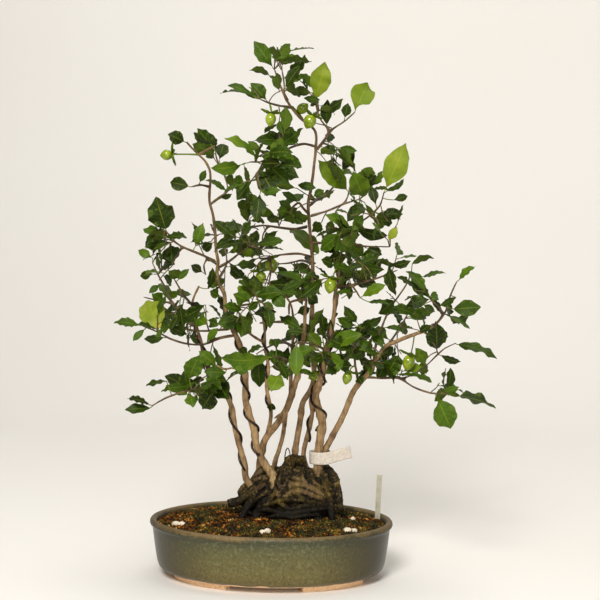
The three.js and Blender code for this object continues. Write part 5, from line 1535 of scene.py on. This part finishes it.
class Blade:
    """A leaf: its foot on the twig, its tip, and the rib, edges and outward side at each station."""

    def __init__(self, foot, tip):
        self.foot, self.tip = foot, tip
        self.rib, self.left, self.right, self.out = [], [], [], []

    def station(self, rib, left, right, out):
        """Adds the next station from the foot on."""
        self.rib.append(rib)
        self.left.append(left)
        self.right.append(right)
        self.out.append(out)

    def measured(self):
        """Works out the length and the width once every station is there."""
        self.length = (self.tip - self.rib[0]).length
        shares = LEAF_WIDTHS[len(self.rib)]
        self.width = max((r - l).length / s for l, r, s in zip(self.left[1:], self.right[1:], shares[1:]))
        return self

    def lifts(self):
        """How far each edge stands out from the rib at each station and at the tip: left, then right."""
        return [[0.0, *((e - r).dot(o) for e, r, o in zip(edge[1:], self.rib[1:], self.out[1:])), 0.0]
                for edge in (self.left, self.right)]


def blade_read(tip, stations, foot):
    """The leaf that a solid's stations show."""
    blade = Blade(foot, tip.co.copy())
    for wide, thin in reversed(stations):
        left, right = wide[0].co.copy(), wide[1].co.copy()
        if blade.left and (left - blade.left[-1]).length > (right - blade.left[-1]).length:
            left, right = right, left
        middle = (left + right) / 2
        above, below = thin[0].co, thin[1].co
        if (above - middle).length > (below - middle).length:
            above, below = below, above
        blade.station(between_pair(thin), left, right, (above - below).normalized())
    blade.out[0] = blade.out[1]
    return blade.measured()


def blade_grown(foot, start, tip, side, width, draw):
    """A new small leaf, arched and folded as the others are."""
    blade = Blade(foot, tip)
    run = tip - start
    across = (side - run * side.dot(run) / run.length_squared).normalized()
    out = across.cross(run).normalized()
    if out.z < 0:
        across, out = -across, -out
    arch = draw.uniform(*LEAF_ARCH) * run.length
    for share, fullness in zip(LEAF_STATIONS[3], LEAF_WIDTHS[3]):
        rib = start + run * share + out * (arch * 4 * share * (1 - share))
        half = max(PETIOLE_RADIUS, fullness * width / 2)
        lifts = [0.0 if share == 0 else half * draw.uniform(*LEAF_FOLD) for _ in range(2)]
        blade.station(rib, rib - across * half + out * lifts[0], rib + across * half + out * lifts[1], out)
    return blade.measured()


def read_blades(solid):
    """Every leaf of a merged solid; its vertices up to the petiole are taken off the solid."""
    blades, gone = [], set()
    for tip in list(solid.verts):
        if len(tip.link_edges) != 4 or tip in gone:
            continue
        stations, used, ring = blade_stations(tip)
        if len(stations) not in LEAF_STATIONS or len(ring) < 3 or gap(stations[-1][0]) > NARROW:
            continue
        blades.append(blade_read(tip, stations, middle_of([v.co for v in ring])))
        gone |= used
    bmesh.ops.delete(solid, geom=list(gone), context="VERTS")
    rims = [e for e in solid.edges if e.is_boundary]
    bmesh.ops.holes_fill(solid, edges=rims, sides=0)
    return blades


def named_tone(tip):
    """The tone named for a leaf whose tip is at a place, or None."""
    spot = viewed(tip)
    for x, y, tone in TONES:
        if math.dist(spot, (x, y)) < TONE_REACH:
            return tone
    return None


def leaf_tone(tip, draw):
    """How yellow a leaf is: as named for the ones that stand out, else by a draw."""
    named = named_tone(tip)
    return draw.triangular(*USUAL_TONES) if named is None else named


def outline_at(share):
    """A leaf's half width at a share of its length: narrow foot, broad past the middle, short point."""
    body = math.sin(math.pi * share ** 1.04) ** 0.8 if 0 < share < 1 else 0
    return body * (1 - 0.45 * max(0, share - 0.8) / 0.2)


def between(values, shares, share):
    """A vector at a share, between vectors that stand at given shares."""
    for k in range(len(shares) - 1):
        if share <= shares[k + 1]:
            return values[k].lerp(values[k + 1], (share - shares[k]) / (shares[k + 1] - shares[k]))
    return values[-1].copy()


class LeafSheets:
    """The fine blades of one spray: points, faces, the blade map, and each face's tone and side."""

    def __init__(self):
        self.points, self.faces, self.maps, self.tones, self.unders = [], [], [], [], []

    def blade(self, blade, tone, draw):
        """Adds a leaf's blade: waved at its edge, curled towards its tip, thickest along the rib."""
        shares = [*LEAF_STATIONS[len(blade.rib)], 1.0]
        wave = draw.uniform(0, FULL_TURN)
        waves = draw.uniform(*LEAF_WAVES)
        ruffle = draw.uniform(*LEAF_RUFFLE) * blade.width
        lobing = draw.uniform(*LEAF_LOBING)
        curl = draw.uniform(*LEAF_CURL) * blade.length
        outs = [*blade.out, blade.out[-1]]
        acrosses = [(r - l).normalized() for l, r in zip(blade.left, blade.right)]
        acrosses.append(acrosses[-1])
        left_lifts, right_lifts = [[Vector((lift, 0, 0)) for lift in lifts] for lifts in blade.lifts()]
        ribs = smooth_path([*blade.rib, blade.tip], blade.length / 40)
        overs, unders = [], []
        rows = SMALL_LEAF_LONG if blade.length < SMALL_LEAF else LEAF_LONG
        for k in range(rows + 1):
            share = k / rows
            across = between(acrosses, shares, share)
            out = between(outs, shares, share).normalized()
            out = (out - across * out.dot(across)).normalized()
            half = max(outline_at(share) * blade.width / 2, PETIOLE_RADIUS if k == 0 else 0.1 * MM)
            rib = ribs[round(share * (len(ribs) - 1))] - out * (curl * max(0, share - 0.55) ** 2 * 5)
            row_over, row_under = [], []
            for t in BLADE_COLUMNS:
                lift = between(left_lifts if t < 0 else right_lifts, shares, share).x * abs(t) ** 1.3
                swing = wave + FULL_TURN * waves * share + (EDGES_APART if t < 0 else 0)
                ruffled = ruffle * t * t * math.sin(swing)
                reach = half * t * (1 + lobing * abs(t) * math.cos(swing) * min(1, 4 * (1 - share)))
                place = rib + across * reach + out * (lift + ruffled * min(1, 4 * share))
                skin = out * (LEAF_THICKNESS / 2 * math.sqrt(max(0, 1 - t * t)) * (1 - 0.6 * share))
                row_over.append(place + skin)
                row_under.append(place - skin)
            overs.append(row_over)
            unders.append(row_under)
        self.skin(overs, unders, tone)

    def skin(self, overs, unders, tone):
        """Adds two sheets that share their edges, as one closed blade."""
        last_column, rows = len(BLADE_COLUMNS) - 1, len(overs) - 1
        number = {}
        for k, (row_over, row_under) in enumerate(zip(overs, unders)):
            for c in range(last_column + 1):
                number[k, c, 0] = number[k, c, 1] = len(self.points)
                self.points.append(row_over[c])
                if 0 < c < last_column and 0 < k < rows:
                    number[k, c, 1] = len(self.points)
                    self.points.append(row_under[c])
        for k in range(rows):
            for c in range(last_column):
                corners = [(k, c), (k, c + 1), (k + 1, c + 1), (k + 1, c)]
                spots = [(column / last_column, row / rows) for row, column in corners]
                self.faces.append([number[row, column, 0] for row, column in corners])
                self.faces.append([number[row, column, 1] for row, column in reversed(corners)])
                self.maps += spots + spots[::-1]
                self.tones += [tone, tone]
                self.unders += [0.0, 1.0]

    def stalk(self, path, radius, tone, sides):
        """Adds a stalk, in the leaf's own green."""
        points, faces = rings_to_mesh(tube_rings(path, [radius * 1.15, radius], sides), len(self.points))
        self.points += points
        for face in faces:
            self.faces.append(list(face))
            self.maps += [(0.5, 0.0)] * len(face)
            self.tones.append(tone)
            self.unders.append(0.6)

    def mesh(self, name, material):
        """The sheets as one mesh, smooth within each side and sharp where the two meet."""
        mesh = mesh_of(name, self.points, self.faces, material)
        mesh.uv_layers.new(name="blade").data.foreach_set("uv", [n for spot in self.maps for n in spot])
        for layer, values in (("leaf_tone", self.tones), ("leaf_under", self.unders)):
            mesh.attributes.new(layer, "FLOAT", "FACE").data.foreach_set("value", values)
        fine = bmesh.new()
        fine.from_mesh(mesh)
        side = fine.faces.layers.float["leaf_under"]
        for edge in fine.edges:
            if len({face[side] for face in edge.link_faces}) > 1:
                edge.smooth = False
        fine.to_mesh(mesh)
        fine.free()
        return mesh


def leaves_of(name, blades, leaf, seed):
    """The fine leaves of one spray as one piece."""
    sheets = LeafSheets()
    draw = random.Random(seed)
    for blade in blades:
        tone = leaf_tone(blade.tip, draw)
        sagging = blade.foot.lerp(blade.rib[0], 0.5) - UP * 0.4 * MM
        into = blade.foot + (blade.foot - blade.rib[0]).normalized() * 0.8 * MM
        path = smooth_path([into, sagging, blade.rib[0].lerp(blade.rib[1], 0.06)], 1.5 * MM)
        sheets.stalk(path, PETIOLE_RADIUS, tone, PETIOLE_SIDES)
        sheets.blade(blade, tone, draw)
    return sheets.mesh(name, leaf)


# Small shoots that fill the dense parts of the crown: ovals of view points
# (middle x, middle y, half width, half height, how many leaves grow there).
CROWN_PARTS = [
    (285, 50, 16, 14, 7), (262, 85, 14, 12, 1), (310, 88, 12, 14, 3), (312, 112, 14, 12, 4),
    (287, 137, 12, 10, 3), (205, 140, 22, 14, 6), (250, 150, 16, 14, 2), (272, 162, 22, 14, 9),
    (338, 160, 14, 14, 10), (250, 185, 22, 14, 10), (365, 182, 16, 14, 3), (262, 212, 22, 16, 12),
    (235, 238, 20, 14, 14), (205, 235, 14, 12, 3), (162, 235, 14, 12, 4), (338, 232, 26, 14, 15),
    (262, 260, 14, 14, 7), (358, 262, 26, 14, 15), (390, 225, 14, 20, 7), (160, 262, 12, 12, 4),
    (290, 287, 26, 13, 14), (258, 287, 14, 13, 10), (215, 287, 14, 13, 1), (165, 312, 24, 13, 9),
    (238, 312, 20, 13, 11), (420, 300, 22, 20, 11), (340, 340, 40, 16, 34), (462, 312, 16, 12, 3),
    (228, 362, 30, 13, 7), (300, 362, 34, 13, 26), (370, 362, 22, 13, 18), (410, 362, 16, 12, 4),
    (200, 385, 26, 14, 20), (438, 388, 14, 14, 7), (345, 287, 20, 14, 7), (192, 335, 16, 14, 4),
    (288, 85, 12, 10, 3), (282, 122, 12, 12, 3), (262, 312, 14, 12, 4), (285, 190, 14, 14, 2),
    (285, 212, 16, 12, 5), (358, 212, 16, 12, 6), (312, 282, 14, 14, 5), (165, 280, 12, 12, 2),
    (395, 255, 14, 12, 3), (430, 330, 14, 12, 3), (300, 325, 18, 12, 4), (337, 365, 12, 10, 4),
    (340, 262, 12, 12, 6), (262, 238, 12, 12, 5), (262, 162, 12, 12, 4), (335, 235, 14, 12, 5),
    (150, 330, 12, 10, 2), (165, 240, 12, 12, 2), (160, 255, 12, 12, 3), (390, 300, 12, 12, 2),
]
SHOOT_LENGTH = (7 * MM, 30 * MM)
SHOOT_LEAF = (19 * MM, 35 * MM)
SHOOT_LEAF_SHAPE = (0.46, 0.62)
SHOOT_DEPTHS = (-85, 95)
LEAF_SPACING = 9 * MM
LEAF_APART = 7.5 * MM
SHOOT_TRIES = 90
SHOOT_RADIUS = 0.75 * MM
SHOOT_SIDES = 6
TWIG_SWELL = 0.2 * MM
BOX_MARGIN = 4 * MM
OVAL_MARGIN = 1.1
SHOWN_REACH = 13
BRIGHT_TONE = 0.65


def is_inside(place):
    """Whether a place is well within the solids' box."""
    return all(low + BOX_MARGIN < p < high - BOX_MARGIN for p, low, high in zip(place, *solids_box))


def any_way(draw):
    """A vector in a drawn direction."""
    return Vector((draw.uniform(-1, 1), draw.uniform(-1, 1), draw.uniform(-1, 1)))


class Crown:
    """Where leaves are, and which of them have to stay in sight, so that new ones find a free place."""

    def __init__(self, blades):
        self.spots = [blade.rib[0].lerp(blade.tip, 0.5) for blade in blades]
        self.shown = [viewed(spot) for spot, blade in zip(self.spots, blades)
                      if (named_tone(blade.tip) or 0) > BRIGHT_TONE]
        for node in nodes_named("fruit"):
            low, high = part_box(node)
            self.shown.append(viewed((Vector(low) + Vector(high)) / 2))

    def is_free(self, place):
        """Whether a place stands clear of the leaves that are there."""
        return all((place - spot).length > LEAF_APART for spot in self.spots)

    def hides_nothing(self, place):
        """Whether a place stands clear, in the view, of the bright leaves and the fruits."""
        spot = viewed(place)
        return all(math.dist(spot, other) > SHOWN_REACH for other in self.shown)

    def takes(self, middle, tip, part):
        """Whether a leaf with this middle and tip may grow in a part of the crown."""
        if not (self.is_free(middle) and self.hides_nothing(middle) and is_inside(tip)):
            return False
        x, y = viewed(middle)
        aside = math.hypot((x - part[0]) / part[2], (y - part[1]) / part[3])
        return named_tone(tip) is None and aside < OVAL_MARGIN


def grow_shoot(foot, goal, part, crown, draw):
    """A curved side shoot from its foot to a place, with alternate leaves: its path and leaves."""
    heading = (goal - foot).normalized()
    length = (goal - foot).length
    sag = Vector((draw.uniform(-1, 1), draw.uniform(-1, 1), draw.uniform(0, 1.4))) * 0.12 * length
    path = smooth_path([foot, foot.lerp(goal, 0.5) + sag, goal], 2.5 * MM)
    side = heading.cross(any_way(draw)).normalized()
    blades = []
    count = 2 + int(length / LEAF_SPACING)
    for k in range(count):
        at = path[round((0.3 + 0.7 * k / (count - 1)) * (len(path) - 1))]
        turn = heading if k == count - 1 else heading * 0.55 + side * (1 if k % 2 else -1)
        turn = (turn + any_way(draw) * 0.4 - UP * 0.08).normalized()
        size = draw.uniform(*SHOOT_LEAF)
        start = at + turn * 3 * MM
        tip = start + turn * size
        middle = start.lerp(tip, 0.5)
        if crown.takes(middle, tip, part):
            outward = Vector((middle.x - POT_MIDDLE.x, middle.y - POT_MIDDLE.y, 0)).normalized()
            facing = outward * 0.8 + UP * 0.6 + any_way(draw) * 0.5
            width = size * draw.uniform(*SHOOT_LEAF_SHAPE)
            blades.append(blade_grown(at, start, tip, turn.cross(facing), width, draw))
            crown.spots.append(middle)
    return path, blades


def crown_shoots(feet, crown):
    """Shoots for every dense part of the crown: for each, the spray that carries it, its path and leaves."""
    draw = random.Random(9)
    grown = []
    for part in CROWN_PARTS:
        x, y, half_x, half_y, wanted = part
        for _ in range(SHOOT_TRIES * wanted):
            if wanted <= 0:
                break
            turn, far = draw.uniform(0, FULL_TURN), math.sqrt(draw.random())
            goal = seen(x + half_x * far * math.cos(turn), y + half_y * far * math.sin(turn),
                        draw.uniform(*SHOOT_DEPTHS))
            foot, owner = min(feet, key=lambda pair: (pair[0] - goal).length_squared)
            is_near = SHOOT_LENGTH[0] < (goal - foot).length < SHOOT_LENGTH[1]
            if is_near and is_inside(goal) and crown.is_free(goal):
                path, blades = grow_shoot(foot, goal, part, crown, draw)
                if blades:
                    grown.append((owner, path, blades))
                    wanted -= len(blades)
    return grown


def make_twigs(node, solid, twig):
    """A spray's own twigs, rounded from its solid."""
    name = "twigs_" + node.removeprefix("spray_")
    twigs = applied(name, taken_out(solid, name), ROUNDED)
    refinished(twigs, twig)
    swollen(twigs, lambda place: TWIG_SWELL)
    finished(name, twigs, "bark", node)


def make_shoots(node, paths, twig):
    """The small shoots that grow on a spray."""
    name = "shoots_" + node.removeprefix("spray_")
    skins = Skins()
    for path in paths:
        skins.tube(path, [SHOOT_RADIUS, SHOOT_RADIUS * 0.8], SHOOT_SIDES)
    finished(name, skins.mesh(name, twig), "bark", node)


def make_sprays(leaf, twig):
    """Each spray's twigs and fine leaves, read from its solid, and the small shoots between them."""
    read = {}
    for node in nodes_named("spray"):
        solid = merged_copy(node)
        read[node] = (solid, read_blades(solid))
    clump = merged_copy("trunk_clump")
    clump_blades = read_blades(clump)
    clump.free()
    feet = [(v.co.copy(), node) for node, (solid, _) in read.items() for v in solid.verts]
    every_blade = [blade for _, blades in read.values() for blade in blades] + clump_blades
    shoots = crown_shoots(feet, Crown(every_blade))
    for seed, (node, (solid, blades)) in enumerate(read.items()):
        own = [(path, grown) for owner, path, grown in shoots if owner == node]
        make_twigs(node, solid, twig)
        if own:
            make_shoots(node, [path for path, _ in own], twig)
        name = "leaves_" + node.removeprefix("spray_")
        blades = blades + [blade for _, grown in own for blade in grown]
        finished(name, leaves_of(name, blades, leaf, seed), "leaf", node)
    finished("leaves_trunks", leaves_of("leaves_trunks", clump_blades, leaf, 77), "leaf", "trunk_clump")


# Fruits

FRUIT_SIDES = 7
FRUIT_STATIONS = (0.86, 0.6, 0.33)
FRUIT_OUTLINE = [(0.3, 0.015), (0.62, 0.07), (0.84, 0.18), (0.97, 0.33), (0.99, 0.46), (0.92, 0.6),
                 (0.75, 0.74), (0.5, 0.86), (0.24, 0.945), (0.08, 0.985)]
SECOND_RING = 0.92
SLENDER = 1.6
FRUIT_TURNS = 28
FRUIT_CORNERS = 0.02
LOBE_FULLNESS = 1.35
LOBE_HALF_THICKNESS = 0.3 * MM
LOBE_TONES = (0.55, 0.74)
STALK_RADIUS = 0.75 * MM
STALK_TONE = 0.5
STALK_SIDES = 7

Fruit = namedtuple("Fruit", "top tip axis length half vertices")


def read_fruit(solid):
    """A fruit's top by the stalk, its pointed tip, the axis between them, its length and half width."""
    for tip in solid.verts:
        if len(tip.link_edges) != FRUIT_SIDES:
            continue
        ring = [e.other_vert(tip) for e in tip.link_edges]
        used, middles, reaches = {tip}, [], []
        while len(ring) == FRUIT_SIDES and len(middles) < len(FRUIT_STATIONS):
            middle = middle_of([v.co for v in ring])
            middles.append(middle)
            reaches.append(max((v.co - middle).length for v in ring))
            used.update(ring)
            ring = beyond(ring, used)
        if len(middles) < 2:
            continue
        axis = (tip.co - middles[-1]).normalized()
        length = (tip.co - middles[-1]).length / (1 - FRUIT_STATIONS[len(middles) - 1])
        half = reaches[1] / SECOND_RING
        if length > SLENDER * half:
            return Fruit(tip.co - axis * length, tip.co.copy(), axis, length, half, used)
    return None


def make_berry(node, fruit, skin):
    """The fruit itself: round, faintly four-cornered, with a drawn-out point."""
    side = fruit.axis.orthogonal().normalized()
    across = (side, fruit.axis.cross(side))
    rings = []
    for radius, station in FRUIT_OUTLINE:
        ring = []
        for i in range(FRUIT_TURNS):
            angle = FULL_TURN * i / FRUIT_TURNS
            swell = 1 + FRUIT_CORNERS * math.cos(4 * angle)
            ring.append(fruit.top + fruit.axis * (station * fruit.length)
                        + around(across, angle) * (radius * fruit.half * swell))
        rings.append(ring)
    points, faces = rings_to_mesh(rings)
    points[-1] = fruit.tip
    finished("ripening_" + node, facing_out(mesh_of(node, points, faces, skin)), "fruit_skin", node)


def read_lobes(solid, fruit):
    """The tip and the outer station of each calyx lobe, and the vertices that are fruit or lobes."""
    lobes = []
    taken = set(fruit.vertices)
    for vertex in solid.verts:
        if len(vertex.link_edges) == 4 and vertex not in fruit.vertices:
            stations, used, _ = blade_stations(vertex)
            if stations:
                lobes.append((vertex.co.copy(), stations[0]))
                taken |= used
    return lobes, taken


def add_lobe(sheets, fruit, tip, station, tone):
    """A long calyx lobe, bent as its solid is and hollow along its middle."""
    wide, thin = station
    start = fruit.top + fruit.axis * 0.6 * MM
    across = (wide[1].co - wide[0].co).normalized()
    out = across.cross(tip - start).normalized()
    if out.dot(fruit.axis) > 0:
        out.negate()
    path = smooth_path([start, between_pair(thin), tip], (tip - start).length / 24)
    width = LOBE_FULLNESS * gap(wide)
    overs, unders = [], []
    for k in range(LEAF_LONG + 1):
        share = k / LEAF_LONG
        rib = path[round(share * (len(path) - 1))]
        reach = width / 2 * max(0.04, math.sin(math.pi * (0.12 + 0.88 * share)) ** 0.75)
        row = [rib + across * (reach * t) + out * (0.12 * width * t * t) for t in BLADE_COLUMNS]
        skins = [out * (LOBE_HALF_THICKNESS * math.sqrt(max(0, 1 - t * t))) for t in BLADE_COLUMNS]
        overs.append([place + skin for place, skin in zip(row, skins)])
        unders.append([place - skin for place, skin in zip(row, skins)])
    sheets.skin(overs, unders, tone)


def add_stalk(sheets, fruit, left):
    """The fruit's stalk, from where its solid ends on the twig."""
    far = max(left, key=lambda p: (p - fruit.top).length)
    home = middle_of([p for p in left if (p - far).length < 3 * MM])
    bend = home.lerp(fruit.top, 0.6) - fruit.axis * 3 * MM
    path = smooth_path([home, bend, fruit.top + fruit.axis * 1.5 * MM], 1.5 * MM)
    sheets.stalk(path, STALK_RADIUS, STALK_TONE, STALK_SIDES)


def make_fruits(skin, leaf):
    """Each fruit with its stalk and its long calyx lobes, read from its solid."""
    for seed, node in enumerate(nodes_named("fruit"), 300):
        solid = merged_copy(node)
        fruit = read_fruit(solid)
        make_berry(node, fruit, skin)
        lobes, taken = read_lobes(solid, fruit)
        sheets = LeafSheets()
        draw = random.Random(seed)
        for tip, station in lobes:
            add_lobe(sheets, fruit, tip, station, draw.uniform(*LOBE_TONES))
        left = [v.co for v in solid.verts if v not in taken]
        if left:
            add_stalk(sheets, fruit, left)
        solid.free()
        name = "calyx_" + node.removeprefix("fruit_")
        finished(name, sheets.mesh(name, leaf), "fruit_skin", node)


# Stage, light and camera

FLOOR_HALF = 4.0
SWEEP_START = 1.1
SWEEP_RADIUS = 0.9
SWEEP_STEPS = 16
WALL_TOP = 4.0
ROOM_LIGHT = 0.19
ROOM_SEEN = 0.86
SENSOR_WIDTH = 36
NEAREST_SEEN = 0.05


def seamless_paper():
    """Seamless backdrop paper, warm white and matte; its back is clear, so the bonsai shows from behind."""
    material, tree, shader, place = new_surface("seamless_paper", Roughness=0.9, IOR=1.3)
    clouds = speckle(tree, place, 0.5, 1.0)
    finish_with(tree, shader, graded(tree, clouds, (0.3, "#e8e5df"), (0.7, "#ebe9e4")))
    behind = add(tree, "ShaderNodeNewGeometry").outputs["Backfacing"]
    clear = add(tree, "ShaderNodeBsdfTransparent").outputs[0]
    sides = add(tree, "ShaderNodeMixShader", {0: behind, 1: shader.outputs[0], 2: clear})
    tree.links.new(sides.outputs[0], tree.nodes["Material Output"].inputs["Surface"])
    return material


def make_stage():
    """A pale floor that sweeps up into the wall behind."""
    profile = [(-FLOOR_HALF, 0.0), (SWEEP_START, 0.0)]
    for k in range(1, SWEEP_STEPS + 1):
        angle = math.pi / 2 * k / SWEEP_STEPS
        profile.append((SWEEP_START + SWEEP_RADIUS * math.sin(angle), SWEEP_RADIUS * (1 - math.cos(angle))))
    profile.append((SWEEP_START + SWEEP_RADIUS, WALL_TOP))
    points = [Vector((x, y, z)) for y, z in profile for x in (-FLOOR_HALF, FLOOR_HALF)]
    faces = [(2 * k, 2 * k + 1, 2 * k + 3, 2 * k + 2) for k in range(len(profile) - 1)]
    backdrop = placed_in_scene("backdrop", mesh_of("backdrop", points, faces, seamless_paper()))


def softbox(name, place, aim, size, watts, colour):
    """A round softbox at a place, turned towards another."""
    light = bpy.data.lights.new(name, "AREA")
    light.shape = "DISK"
    light.size = size
    light.energy = watts
    light.color = linear(colour)[:3]
    lamp = placed_in_scene(name, light)
    lamp.location = place
    lamp.rotation_euler = (Vector(aim) - Vector(place)).to_track_quat("-Z", "Y").to_euler()


def make_light():
    """A large softbox above the camera's left, a weaker one from the right, one for the wall, and a little
    room light, which the camera sees paler than it is."""
    softbox("key", (-0.3, -2.4, 1.9), (0, 0, 0.3), 0.9, 80, "#fffcf8")
    softbox("fill", (0.9, -2.3, 0.55), (0, 0, 0.15), 1.2, 15, "#fffcf8")
    softbox("wall", (0.4, 0.2, 3.4), (0.3, 1.9, 0.9), 2.0, 49, "#fffcfa")
    world = bpy.data.worlds.new("room")
    world.use_nodes = True
    room = world.node_tree
    background = room.nodes["Background"]
    background.inputs["Color"].default_value = linear("#f8f6f2")
    seen_directly = add(room, "ShaderNodeLightPath").outputs["Is Camera Ray"]
    room.links.new(spread(room, seen_directly, 0, 1, ROOM_LIGHT, ROOM_SEEN), background.inputs["Strength"])
    bpy.context.scene.world = world


def make_camera():
    """The camera at the line of sight that the routes are read from."""
    lens = bpy.data.cameras.new("camera")
    lens.sensor_width = SENSOR_WIDTH
    lens.lens = lens.sensor_width * VIEW_FOCAL / (2 * VIEW_MIDDLE)
    lens.clip_start = NEAREST_SEEN
    camera = placed_in_scene("camera", lens)
    turned = Matrix((VIEW_ACROSS, VIEW_UP, -SIGHT)).transposed().to_4x4()
    camera.matrix_world = Matrix.Translation(EYE * MM + POT_MIDDLE) @ turned
    bpy.context.scene.camera = camera
    bpy.context.scene.view_settings.view_transform = "Standard"


# The dressed bonsai

leaf = persimmon_leaf()
twig = green_twig()
bark = persimmon_bark()
wire = anodised_aluminium()

make_pot(stoneware_glaze())
make_soil(potting_soil())
make_ground_cover(baked_clay_grains(), live_moss())
make_pebbles(river_pebble())
for drain_mesh in nodes_named("drain_mesh"):
    dressed(drain_mesh, black_mesh_plastic())
dressed("label_stake", label_plastic())
make_tag(tag_paper())
make_pin(wire)
make_root_mass(bark)
make_trunks(bark)
make_wires(wire)
make_sprays(leaf, twig)
make_fruits(fruit_skin(), leaf)
make_stage()
make_light()
make_camera()
